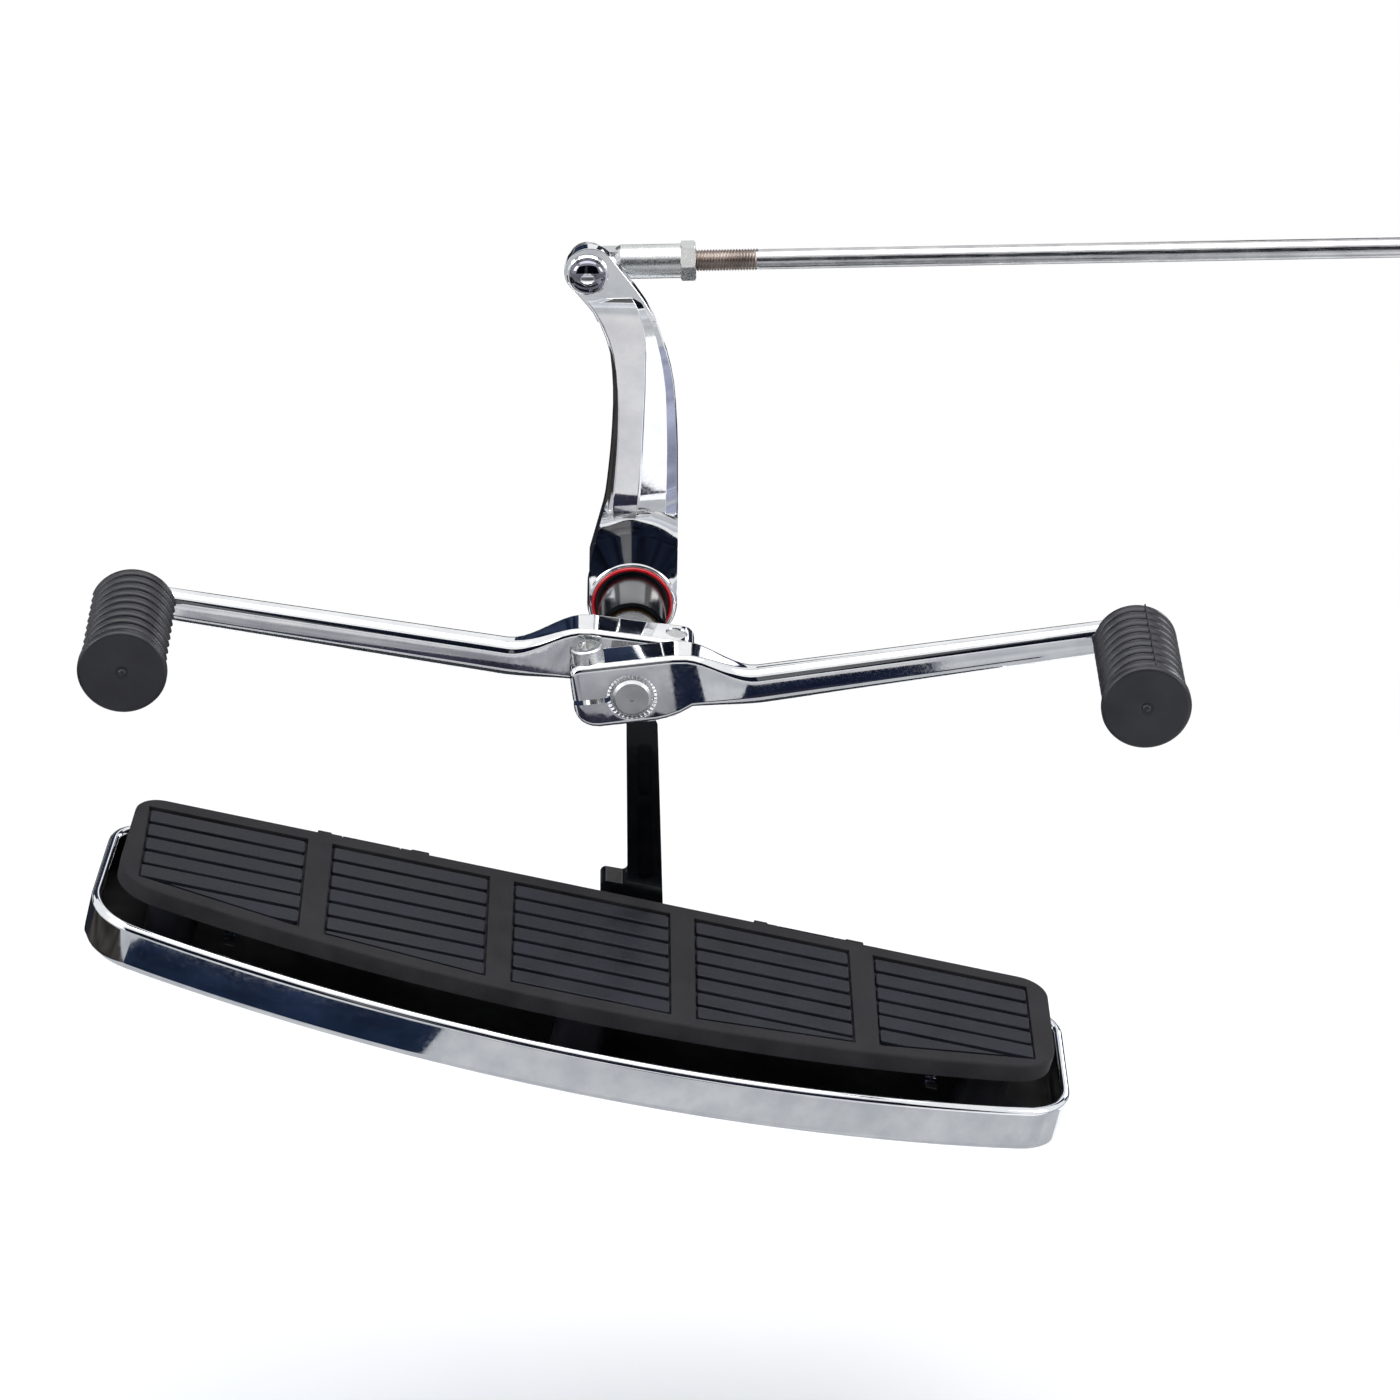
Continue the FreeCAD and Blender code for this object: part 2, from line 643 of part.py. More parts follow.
def inner_lever():
    """Forged lever: a cupped hub, an arm that flares into it, and a thin flat eye at the top."""
    back = HUB_START + HUB_LENGTH
    hub = turned_y([(0, HUB_START), (HUB_R - HUB_LIP, HUB_START), (HUB_R, HUB_START + HUB_LIP),
                    (HUB_R, back - HUB_ROUND), (HUB_R - HUB_ROUND, back), (0, back)])
    arm = Part.makeLoft([level_section(cut.middle, cut.height, cut.width, HUB_START + cut.front,
                                       back - cut.back, cut.corner) for cut in ARM], True, True)
    pin = V(-PIN_AHEAD, 0, PIN_ABOVE)
    middle = pin + V(EYE_SHIFT[0], 0, EYE_SHIFT[1])
    eye = cylinder(LEVER_EYE_R, middle + V(0, LEVER_EYE_START, 0), Y_AXIS, LEVER_EYE_THICK)
    left = middle + FreeCAD.Rotation(Y_AXIS, -NECK_LEFT_ANGLE).multVec(V(-LEVER_EYE_R, 0, 0))
    right = middle + FreeCAD.Rotation(Y_AXIS, -NECK_RIGHT_ANGLE).multVec(V(LEVER_EYE_R, 0, 0))
    top = ARM[-1]
    neck = side_prism([(left.x, left.z, 0), (right.x, right.z, 0),
                       (top.middle + top.width / 2, top.height, NECK_ROUND),
                       (top.middle + top.width / 2, top.height - NECK_LAP, 0),
                       (top.middle - top.width / 2, top.height - NECK_LAP, 0),
                       (top.middle - top.width / 2, top.height, NECK_ROUND)],
                      LEVER_EYE_START, LEVER_EYE_START + LEVER_EYE_THICK)
    lever = hub.fuse([arm, neck, eye])
    cup = cylinder(HUB_CUP_R, V(0, HUB_START - 1, 0), Y_AXIS, HUB_CUP_DEPTH + 1)
    bore = cylinder(SHAFT_R, V(0, HUB_START, 0), Y_AXIS, SHAFT_END - HUB_START)
    pin_hole = cylinder(PIN_R, pin + V(0, LEVER_EYE_START - 1, 0), Y_AXIS, LEVER_EYE_THICK + 2)
    screw_hole = cylinder(HUB_SCREW_R, V(0, HUB_SCREW_Y, -HUB_R - 1), Z_AXIS, HUB_R + 1)
    return lever.cut([cup, bore, pin_hole, screw_hole]).removeSplitter()


def hub_screw():
    """Grub screw up through the hub into the shaft's dimple."""
    tip = -SHAFT_R + HUB_SCREW_BITE
    end = -HUB_R + HUB_SCREW_SUNK
    profile = [(0, end), (HUB_SCREW_R - HUB_SCREW_BEVEL, end), (HUB_SCREW_R, end + HUB_SCREW_BEVEL),
               (HUB_SCREW_R, tip), (0, tip)]
    return turned_z(profile, 0, HUB_SCREW_Y)


# Pin stack through the eye, outboard to inboard: head, washer, eye, ball, nut

BALL_Y = LEVER_EYE_START + LEVER_EYE_THICK + BALL_STANDOFF
PIN_NUT_START = BALL_Y + BALL_WIDTH / 2
PIN_WASHER_START = LEVER_EYE_START - PIN_WASHER_H


def pin_bolt():
    """Domed bolt with a hexagon socket."""
    base = PIN_WASHER_START
    profile = [(0, base - PIN_HEAD_H)]
    for step in range(1, 5):
        angle = math.radians(22.5 * step)
        profile.append((PIN_HEAD_R * math.sin(angle), base - PIN_HEAD_RIM
                        - (PIN_HEAD_H - PIN_HEAD_RIM) * math.cos(angle)))
    end = PIN_NUT_START + PIN_NUT_H + PIN_END
    profile += [(PIN_HEAD_R, base), (PIN_R, base), (PIN_R, end), (0, end)]
    bolt = turned_y(profile, -PIN_AHEAD, PIN_ABOVE)
    start = V(-PIN_AHEAD, base - PIN_HEAD_H - 1, PIN_ABOVE)
    return bolt.cut(hexagon(PIN_SOCKET_FLATS, start, Y_AXIS, 1 + PIN_SOCKET_DEPTH))


def pin_washer():
    return turned_y([(PIN_R, PIN_WASHER_START), (PIN_WASHER_R, PIN_WASHER_START),
                     (PIN_WASHER_R, LEVER_EYE_START), (PIN_R, LEVER_EYE_START)], -PIN_AHEAD, PIN_ABOVE)


def pin_nut():
    """Nut with two of its flats level."""
    return nut(PIN_NUT_FLATS, PIN_NUT_H, PIN_R, V(-PIN_AHEAD, PIN_NUT_START, PIN_ABOVE), Y_AXIS)


# Linkage rod, in its own frame: the front ball at the origin, the rear ball at ROD_PINS_APART along +X

def on_rod(shape):
    """Sets a rod piece on the pin, rising rearward."""
    placed = shape.copy()
    placed.rotate(V(0, 0, 0), Y_AXIS, -ROD_RISE)
    placed.translate(V(-PIN_AHEAD, BALL_Y, PIN_ABOVE))
    return placed


def at_rear(shape):
    """Turns a front end piece round to serve as the rear one."""
    return shape.mirror(V(ROD_PINS_APART / 2, 0, 0), X_AXIS)


def rod_ball():
    """Ball with two flats, a neck that stands it off the lever, and a bore for the pin."""
    ball = Part.makeSphere(BALL_R)
    half = BALL_WIDTH / 2
    ball = ball.common(box(-BALL_R, BALL_R, -half, half, -BALL_R, BALL_R))
    neck = cylinder(BALL_NECK_R, V(0, -BALL_STANDOFF, 0), Y_AXIS, BALL_STANDOFF)
    return ball.fuse(neck).cut(cylinder(PIN_R, V(0, -BALL_STANDOFF, 0), Y_AXIS, BALL_STANDOFF + half))


def rod_end():
    """Rod end: a flat round head with a ball socket, a flat neck and a round threaded barrel."""
    half = ROD_HEAD_THICK / 2
    head = cylinder(ROD_HEAD_R, V(0, -half, 0), Y_AXIS, ROD_HEAD_THICK)
    neck = box(0, BARREL_START + 3, -half, half, -ROD_NECK_H / 2, ROD_NECK_H / 2)
    taper_start = BARREL_START - BARREL_TAPER
    barrel = turned_x([(0, taper_start), (half, taper_start), (BARREL_R - BARREL_STEP, BARREL_START),
                       (BARREL_R, BARREL_START + BARREL_ROUND), (BARREL_R, BARREL_END), (0, BARREL_END)])
    body = head.fuse([neck, barrel])
    socket = Part.makeSphere(BALL_R + RUNNING)
    bore = cylinder(THREAD_R, V(BARREL_START + 2, 0, 0), X_AXIS, BARREL_END - BARREL_START)
    return body.cut([socket, bore]).removeSplitter()


def jam_nut():
    """Nut against the rod end, its corners chamfered."""
    end = BARREL_END + JAM_NUT_H
    corner_r = JAM_NUT_FLATS / math.sqrt(3)
    bevel = (corner_r - JAM_NUT_FLATS / 2) * 0.6
    blank = turned_x([(0, BARREL_END), (JAM_NUT_FLATS / 2, BARREL_END), (corner_r, BARREL_END + bevel),
                      (corner_r, end - bevel), (JAM_NUT_FLATS / 2, end), (0, end)])
    sharp = nut(JAM_NUT_FLATS, JAM_NUT_H, THREAD_R, V(BARREL_END, 0, 0), X_AXIS, 90 + JAM_NUT_TURN)
    return sharp.common(blank)


def shift_rod():
    """Plain rod whose rolled threads stand proud of it at both ends."""
    half_profile = [(THREAD_R - THREAD_BEVEL, THREAD_START), (THREAD_R, THREAD_START + THREAD_BEVEL),
                    (THREAD_R, THREAD_END - THREAD_RUNOUT), (ROD_R, THREAD_END)]
    other_half = [(radius, ROD_PINS_APART - x) for radius, x in reversed(half_profile)]
    profile = [(0, THREAD_START)] + half_profile + other_half + [(0, ROD_PINS_APART - THREAD_START)]
    return turned_x(profile)


# Board group, in its own frame: +X along the board, +Y inboard, +Z out of the pad's top

BOARD_SEAT = FreeCAD.Placement(V(-BOARD_FORWARD, BOARD_INBOARD, -BOARD_DROP),
                               FreeCAD.Rotation(Y_AXIS, BOARD_PITCH))
PAN_MIDDLE = (PAN.front + PAN.rear) / 2
PAD_MIDDLE = (PAD.front + PAD.rear) / 2
ISOLATOR_SPREAD = (PAD.rear - PAD.front) / 2 - ISOLATOR_FROM_END
PAN_BOTTOM = PAN_TOP - PAN_HEIGHT
PLATE_BOTTOM = -PAD_THICK - PLATE_THICK
FLOOR_TOP = PAN_BOTTOM + PAN_FLOOR
HINGE_AT = (PAN_MIDDLE - HINGE_SPREAD, PAN_MIDDLE + HINGE_SPREAD)


def on_board(shape):
    placed = shape.copy()
    placed.transformShape(BOARD_SEAT.toMatrix())
    return placed


def isolator_places():
    """Three isolators along the bowed edge and two at the ends of the straight one."""
    ends = (PAD_MIDDLE - ISOLATOR_SPREAD, PAD_MIDDLE + ISOLATOR_SPREAD)
    bowed = [(x, -bow_depth(PAD, x) + ISOLATOR_INSET) for x in (ends[0], PAD_MIDDLE, ends[1])]
    return bowed + [(x, -ISOLATOR_INSET) for x in ends]


def hinge_screw_places():
    return [(x + side * CSK_SPREAD, PAN.inboard - CSK_BACK) for x in HINGE_AT for side in (-1, 1)]


def floorboard_pan():
    """Shallow pan with a bowed edge, rounded corners and a lip rolled inward all the way round."""
    outer = plan_prism(PAN, 0, PAN_BOTTOM, PAN_TOP)
    outer = outer.makeChamfer(PAN_FOOT_BEVEL, rim_edges(outer, PAN_BOTTOM))
    outer = outer.makeFillet(LIP_ROUND, rim_edges(outer, PAN_TOP))
    hollow = plan_prism(PAN, PAN_WALL, FLOOR_TOP, PAN_TOP - LIP_HEIGHT)
    mouth = plan_prism(PAN, LIP_WIDTH, FLOOR_TOP, PAN_TOP + 1)
    holes = [cylinder(ISOLATOR_STUD_R + BOLT_PLAY, V(x, y, PAN_BOTTOM - 1), Z_AXIS, PAN_FLOOR + 2)
             for x, y in isolator_places()]
    holes += [csk_screw(x, y) for x, y in hinge_screw_places()]
    return outer.cut([hollow, mouth] + holes).removeSplitter()


def csk_screw(x, y):
    """Countersunk screw, flush with the pan's floor and threaded in the fork's tongue."""
    top = FLOOR_TOP
    tip = PAN_BOTTOM - FORK_TONGUE
    return turned_z([(0, tip), (CSK_R, tip), (CSK_R, top - (CSK_HEAD_R - CSK_R)), (CSK_HEAD_R, top),
                     (0, top)], x, y)


def rib_spans():
    """Every raised rib as (x0, x1, y_outer, y_inner), cut short where the bowed edge comes in."""
    first = PAD_MIDDLE - (PANELS * PANEL_LENGTH + (PANELS - 1) * BAND_WIDTH) / 2
    count = int((PAD.apex - FIRST_GROOVE) / RIB_PITCH)
    spans = []
    for panel in range(PANELS):
        panel_start = first + panel * (PANEL_LENGTH + BAND_WIDTH)
        for row in range(count):
            inner = FIRST_GROOVE + GROOVE_WIDTH + row * RIB_PITCH
            outer = inner + RIB_PITCH - GROOVE_WIDTH
            reach = bow_reach(PAD, outer + GROOVE_WIDTH, PANEL_BORDER)
            x0 = max(panel_start, PAD_MIDDLE - reach)
            x1 = min(panel_start + PANEL_LENGTH, PAD_MIDDLE + reach)
            if x1 - x0 > SHORTEST_RIB:
                spans.append((x0, x1, -outer, -inner))
    return spans


def rubber_pad():
    """Rubber pad: five recessed panels of ribs that rise level with the bands between them."""
    pad = plan_prism(PAD, 0, -PAD_THICK, 0)
    pad = pad.makeChamfer(PAD_EDGE, rim_edges(pad, 0))
    pockets = []
    ribs = []
    for x0, x1, y0, y1 in rib_spans():
        pockets.append(box(x0, x1, y0 - GROOVE_WIDTH, y1 + GROOVE_WIDTH, -GROOVE_DEPTH, 1))
        rib = box(x0 + RIB_END_GAP, x1 - RIB_END_GAP, y0, y1, -GROOVE_DEPTH - 1, 2)
        corners = [e for e in rib.Edges if e.BoundBox.ZLength > 1]
        ribs.append(rib.makeChamfer(RIB_CORNER, corners))
    grooves = pockets[0].multiFuse(pockets[1:]).cut(ribs)
    return pad.cut(grooves)


def pad_plate():
    plate = plan_prism(PAD, PLATE_INSET, PLATE_BOTTOM, -PAD_THICK)
    return plate.cut([cylinder(ISOLATOR_STUD_R, V(x, y, PLATE_BOTTOM - 1), Z_AXIS, PLATE_THICK + 2)
                      for x, y in isolator_places()])


def isolators():
    """Rubber sleeves between the pan's floor and the plate."""
    height = PLATE_BOTTOM - FLOOR_TOP
    made = []
    for x, y in isolator_places():
        sleeve = cylinder(ISOLATOR_R, V(x, y, FLOOR_TOP), Z_AXIS, height)
        made.append(sleeve.cut(cylinder(ISOLATOR_STUD_R, V(x, y, FLOOR_TOP), Z_AXIS, height)))
    return made


def isolator_studs():
    return [cylinder(ISOLATOR_STUD_R, V(x, y, PAN_BOTTOM - STUD_PROUD), Z_AXIS, -PAD_THICK - PAN_BOTTOM + STUD_PROUD)
            for x, y in isolator_places()]


def isolator_nuts():
    return [nut(ISOLATOR_NUT_FLATS, ISOLATOR_NUT_H, ISOLATOR_STUD_R, V(x, y, PAN_BOTTOM - ISOLATOR_NUT_H), Z_AXIS)
            for x, y in isolator_places()]


def pad_clips():
    """Bent strips under the plate's bowed edge that hook outward and up."""
    made = []
    for side in (-1, 1):
        x = PAD_MIDDLE + side * (ISOLATOR_SPREAD - CLIP_FROM_ISOLATOR)
        root = -bow_depth(PAD, x, PLATE_INSET) + CLIP_REACH
        low = PLATE_BOTTOM - CLIP_DROP
        tip = root - CLIP_REACH - 2
        outer_r = CLIP_BEND + CLIP_METAL
        corners = [(root, PLATE_BOTTOM, 0), (root + CLIP_METAL, PLATE_BOTTOM, 0),
                   (root + CLIP_METAL, low, outer_r), (tip, low, outer_r),
                   (tip, low + CLIP_TIP, 0), (tip + CLIP_METAL, low + CLIP_TIP, 0),
                   (tip + CLIP_METAL, low + CLIP_METAL, CLIP_BEND), (root, low + CLIP_METAL, CLIP_BEND)]
        made.append(end_prism(corners, x - CLIP_WIDTH / 2, x + CLIP_WIDTH / 2))
    return made


# Hinges of the board

FOLD_Y = FOLD_AXIS_INBOARD
FOLD_Z = -FOLD_AXIS_DROP
FORK_HALF = KNUCKLE_LENGTH / 2 + FORK_SIDE_GAP + FORK_METAL
TONGUE_BOTTOM = PAN_BOTTOM - FORK_TONGUE


def pan_hinge(x):
    """Fork: a tongue screwed under the pan and two ears that rise behind its wall to the fold axis."""
    wall = PAN.inboard + LOOSE
    ear = [(FOLD_Y + KNUCKLE_R, FOLD_Z, 0), (FOLD_Y + KNUCKLE_R, PAN_BOTTOM + FORK_CORNER, FORK_ROUND),
           (wall + FORK_CORNER, TONGUE_BOTTOM, FORK_ROUND),
           (PAN.inboard - FORK_TONGUE_REACH, TONGUE_BOTTOM, 0),
           (PAN.inboard - FORK_TONGUE_REACH, PAN_BOTTOM, 0), (wall, PAN_BOTTOM, 0),
           (wall, FOLD_Z - FORK_CORNER, 0), (FOLD_Y - KNUCKLE_R, FOLD_Z, 0)]
    pieces = []
    for start in (x - FORK_HALF, x + FORK_HALF - FORK_METAL):
        pieces.append(end_prism(ear, start, start + FORK_METAL))
        pieces.append(cylinder(KNUCKLE_R, V(start, FOLD_Y, FOLD_Z), X_AXIS, FORK_METAL))
    tongue = box(x - FORK_HALF, x + FORK_HALF, PAN.inboard - FORK_TONGUE_REACH, wall, TONGUE_BOTTOM, PAN_BOTTOM)
    fork = tongue.fuse(pieces)
    bolt_hole = cylinder(HINGE_BOLT_R, V(x - FORK_HALF - 1, FOLD_Y, FOLD_Z), X_AXIS, 2 * FORK_HALF + 2)
    screws = [csk_screw(sx, sy) for sx, sy in hinge_screw_places()]
    return fork.cut([bolt_hole] + screws).removeSplitter()


def hinge_bolts():
    made = []
    for x in HINGE_AT:
        head = hexagon(HINGE_BOLT_FLATS, V(x - FORK_HALF - HINGE_HEAD_H, FOLD_Y, FOLD_Z), X_AXIS, HINGE_HEAD_H)
        shank = cylinder(HINGE_BOLT_R, V(x - FORK_HALF - 1, FOLD_Y, FOLD_Z), X_AXIS,
                         1 + 2 * FORK_HALF + HINGE_NUT_H + HINGE_BOLT_PROUD)
        made.append(head.fuse(shank).removeSplitter())
    return made


def hinge_nuts():
    return [nut(HINGE_BOLT_FLATS, HINGE_NUT_H, HINGE_BOLT_R, V(x + FORK_HALF, FOLD_Y, FOLD_Z), X_AXIS)
            for x in HINGE_AT]


def rail_screw_spots():
    return [V(x, 0, RAIL_TOP - RAIL_HEIGHT / 2) for x in RAIL_SCREW_AT]


def support_rail():
    """Flat bar under the board's inboard edge, with a post and a knuckle at each hinge."""
    front = HINGE_AT[0] - RAIL_OVERHANG
    rear = HINGE_AT[1] + RAIL_OVERHANG
    back = PLATE_FACE
    bottom = RAIL_TOP - RAIL_HEIGHT
    bar = side_prism([(front, RAIL_TOP, RAIL_ROUND), (front, bottom, RAIL_ROUND), (rear, bottom, RAIL_ROUND),
                      (rear, RAIL_TOP, RAIL_ROUND)], back - RAIL_THICK, back)
    pieces = []
    for x in HINGE_AT:
        start = x - KNUCKLE_LENGTH / 2
        post = [(POST_FACE, RAIL_TOP - POST_LAP, POST_ROUND), (back, RAIL_TOP - POST_LAP, 0),
                (back, FOLD_Z - POST_BACK_DROP, POST_ROUND), (FOLD_Y + KNUCKLE_R, FOLD_Z, 0),
                (FOLD_Y - KNUCKLE_R, FOLD_Z, 0), (POST_FACE, FOLD_Z - POST_FACE_DROP, 0)]
        pieces.append(end_prism(post, start, start + KNUCKLE_LENGTH))
        pieces.append(cylinder(KNUCKLE_R, V(start, FOLD_Y, FOLD_Z), X_AXIS, KNUCKLE_LENGTH))
    rail = bar.fuse(pieces)
    holes = [cylinder(HINGE_BOLT_R + RUNNING, V(x - KNUCKLE_LENGTH, FOLD_Y, FOLD_Z), X_AXIS, 2 * KNUCKLE_LENGTH)
             for x in HINGE_AT]
    holes += [cylinder(RAIL_SCREW_R, p + V(0, back - RAIL_THICK - 1, 0), Y_AXIS, RAIL_THICK + 2)
              for p in rail_screw_spots()]
    return rail.cut(holes).removeSplitter()


def stop_buttons():
    """Rubber buttons on the posts that the pan's inboard wall rests against."""
    face = PAN.inboard + STOP_GAP
    return [cylinder(STOP_R, V(x, face, -STOP_DROP), Y_AXIS, POST_FACE - face) for x in HINGE_AT]


def rail_screws():
    """Hex screws through the bracket's plate into the rail."""
    back = PLATE_FACE + BRACKET_THICK
    made = []
    for spot in rail_screw_spots():
        head = hexagon(RAIL_SCREW_FLATS, spot + V(0, back, 0), Y_AXIS, RAIL_SCREW_HEAD)
        start = PLATE_FACE - RAIL_THICK
        shank = cylinder(RAIL_SCREW_R, spot + V(0, start, 0), Y_AXIS, back - start + 1)
        made.append(head.fuse(shank).removeSplitter())
    return made


# Bracket, laid out from the shaft

PLATE_Y = BOARD_INBOARD + PLATE_FACE
PLATE_BACK = PLATE_Y + BRACKET_THICK


def mount_places():
    return [(SHAFT_AHEAD - MOUNT_SPACING / 2, -SHAFT_ABOVE), (SHAFT_AHEAD + MOUNT_SPACING / 2, -SHAFT_ABOVE)]


def extension_bracket():
    """Casting: the shaft boss, the bar under it, the front tab, the foot plate and two stand-offs."""
    low = -SHAFT_ABOVE - MOUNT_BOSS_R
    far = SHAFT_AHEAD + MOUNT_SPACING / 2 + MOUNT_BOSS_R
    plate = side_prism([(BAR_LEFT, BAR_TOP, 0), (BAR_LEFT, TAB_TOP - 2.2, 2.0), (TAB_LEFT, TAB_TOP, 2.2),
                        (TAB_LEFT, TAB_TOP - TAB_HEIGHT, TAB_ROUND),
                        (SHAFT_AHEAD - MOUNT_SPACING / 2 - FOOT_FRONT, low, TAB_ROUND),
                        (far, low, FOOT_ROUND), (far, low + 2 * MOUNT_BOSS_R + 2, FOOT_ROUND),
                        (GUSSET_X, GUSSET_Z, 14.0), (BAR_FOOT_RIGHT, BAR_FOOT, 8.0),
                        (BAR_RIGHT, BAR_STEP_BOTTOM, 3.0), (BAR_TOP_RIGHT, BAR_STEP_TOP, 3.0),
                        (BAR_TOP_RIGHT, BAR_TOP, 0)], PLATE_Y, PLATE_BACK)
    web = side_prism([(BAR_LEFT - 5, -6.0, 0), (BAR_LEFT, -26.0, 8.0), (BAR_LEFT, -34.0, 0),
                      (BAR_TOP_RIGHT, -34.0, 0), (BAR_TOP_RIGHT, -26.0, 8.0), (BAR_TOP_RIGHT + 3, -6.0, 0)],
                     PLATE_Y, PLATE_BACK - 2)
    boss = cylinder(BOSS_R, V(0, BOSS_START, 0), Y_AXIS, BOSS_LENGTH)
    standoffs = [cylinder(MOUNT_BOSS_R, V(x, PLATE_Y + 1, z), Y_AXIS, SHAFT_REACH - PLATE_Y - 1)
                 for x, z in mount_places()]
    body = plate.fuse([web, boss] + standoffs)
    recesses = []
    for top, bottom in ((BAR_STEP_BOTTOM - 2, RECESS_BREAK[0]), (RECESS_BREAK[1], TAB_TOP)):
        recesses.append(side_prism([(RECESS_LEFT, top, 1.5), (RECESS_LEFT, bottom, 1.5),
                                    (RECESS_RIGHT, bottom, 1.5), (RECESS_RIGHT, top, 1.5)],
                                   PLATE_Y - 1, PLATE_Y + RECESS_DEPTH))
    bore = cylinder(BUSH_R, V(0, BOSS_START - 1, 0), Y_AXIS, BOSS_LENGTH + 2)
    taps = [cylinder(MOUNT_HOLE_R, V(x, SHAFT_REACH - MOUNT_HOLE_DEPTH, z), Y_AXIS, MOUNT_HOLE_DEPTH + 1)
            for x, z in mount_places()]
    screw_holes = [on_board(cylinder(RAIL_SCREW_R, p + V(0, PLATE_FACE - 1, 0), Y_AXIS, BRACKET_THICK + 2))
                   for p in rail_screw_spots()]
    cup_room = cylinder(HUB_R + LOOSE + 0.2, V(0, HUB_START - LOOSE - SEAL_PROUD, 0), Y_AXIS, HUB_LENGTH)
    cup_room = cup_room.cut(cylinder(BOSS_R, V(0, HUB_START - 2, 0), Y_AXIS, BOSS_END - HUB_START + 2))
    return body.cut(recesses + [bore, cup_room] + taps + screw_holes).removeSplitter()


# Export, one file for each node

def save(name, shape):
    """Moves a shape from the shaft's frame to the mount's and writes it."""
    whole = Part.makeCompound(shape) if isinstance(shape, list) else shape.copy()
    whole.translate(V(-SHAFT_AHEAD, -SHAFT_REACH, SHAFT_ABOVE))
    for solid in whole.Solids:
        if not solid.isValid():
            raise ValueError(name + " is not a valid solid")
    if len(whole.Solids) == 1:
        whole = whole.Solids[0]
    whole.exportStep(os.path.join("parts", name + ".step"))
    print(name, len(whole.Solids), "solid(s)", round(whole.Volume / 1000, 2), "cm3")


os.makedirs("parts", exist_ok=True)

save("extension_bracket", extension_bracket())
save("front_bush", bush(BOSS_START, 1))
save("rear_bush", bush(BOSS_END, -1))
save("support_rail", on_board(support_rail()))
save("rail_screws", [on_board(s) for s in rail_screws()])
save("stop_buttons", [on_board(s) for s in stop_buttons()])

save("shift_shaft", shift_shaft())
save("thrust_washer", thrust_washer())
save("retaining_ring", retaining_ring())
save("seal_ring", seal_ring())
save("inner_lever", inner_lever())
save("hub_screw", hub_screw())
save("pin_bolt", pin_bolt())
save("pin_washer", pin_washer())
save("pin_nut", pin_nut())

save("heel_lever", on_heel(foot_lever(HEEL_PINCH)))
save("toe_lever", on_toe(foot_lever(TOE_PINCH)))
save("pinch_screws", [on_heel(pinch_screw(HEEL_PINCH)), on_toe(pinch_screw(TOE_PINCH))])
save("heel_peg", on_heel(peg_rubber()))
save("toe_peg", on_toe(peg_rubber()))
save("peg_studs", [on_heel(peg_stud()), on_toe(peg_stud())])

save("front_rod_ball", on_rod(rod_ball()))
save("front_rod_end", on_rod(rod_end()))
save("front_jam_nut", on_rod(jam_nut()))
save("shift_rod", on_rod(shift_rod()))
save("rear_jam_nut", on_rod(at_rear(jam_nut())))
save("rear_rod_end", on_rod(at_rear(rod_end())))
save("rear_rod_ball", on_rod(at_rear(rod_ball())))

save("floorboard_pan", on_board(floorboard_pan()))
save("rubber_pad", on_board(rubber_pad()))
save("pad_plate", on_board(pad_plate()))
save("pad_isolators", [on_board(s) for s in isolators()])
save("isolator_studs", [on_board(s) for s in isolator_studs()])
save("isolator_nuts", [on_board(s) for s in isolator_nuts()])
save("pad_clips", [on_board(s) for s in pad_clips()])
save("front_pan_hinge", on_board(pan_hinge(HINGE_AT[0])))
save("rear_pan_hinge", on_board(pan_hinge(HINGE_AT[1])))
save("hinge_screws", [on_board(csk_screw(x, y)) for x, y in hinge_screw_places()])
save("hinge_bolts", [on_board(s) for s in hinge_bolts()])
save("hinge_nuts", [on_board(s) for s in hinge_nuts()])
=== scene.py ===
import bpy
import bmesh
import json
import math
from collections import namedtuple
from mathutils import Matrix, Vector

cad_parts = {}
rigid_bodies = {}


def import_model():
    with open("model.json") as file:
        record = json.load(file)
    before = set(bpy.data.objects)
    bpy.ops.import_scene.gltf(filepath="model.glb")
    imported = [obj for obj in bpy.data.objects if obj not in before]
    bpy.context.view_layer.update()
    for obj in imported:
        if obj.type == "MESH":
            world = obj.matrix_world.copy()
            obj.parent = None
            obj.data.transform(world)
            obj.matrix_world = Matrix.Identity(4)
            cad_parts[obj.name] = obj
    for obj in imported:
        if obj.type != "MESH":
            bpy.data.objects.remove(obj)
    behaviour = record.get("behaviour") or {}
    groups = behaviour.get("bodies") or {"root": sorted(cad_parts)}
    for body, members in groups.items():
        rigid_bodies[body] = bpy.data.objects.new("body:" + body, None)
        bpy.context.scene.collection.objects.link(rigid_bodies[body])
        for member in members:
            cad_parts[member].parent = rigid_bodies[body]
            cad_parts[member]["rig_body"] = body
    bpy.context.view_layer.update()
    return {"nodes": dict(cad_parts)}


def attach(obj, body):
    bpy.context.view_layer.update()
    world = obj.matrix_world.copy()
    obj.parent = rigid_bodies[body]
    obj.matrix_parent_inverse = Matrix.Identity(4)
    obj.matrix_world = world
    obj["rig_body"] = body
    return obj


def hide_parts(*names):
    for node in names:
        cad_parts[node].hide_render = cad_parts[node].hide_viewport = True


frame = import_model()
NODES = frame["nodes"]

# A floorboard extension kit. Each piece is drawn in millimetres in the frame of the group it belongs to,
# and then set in its place in metres.

MM = 0.001
TO_METRES = Matrix.Scale(MM, 4)
MIRROR_X = Matrix.Scale(-1, 4, (1, 0, 0))


def move(x, y, z):
    return Matrix.Translation((x, y, z))


def about_y(degrees):
    return Matrix.Rotation(math.radians(degrees), 4, "Y")


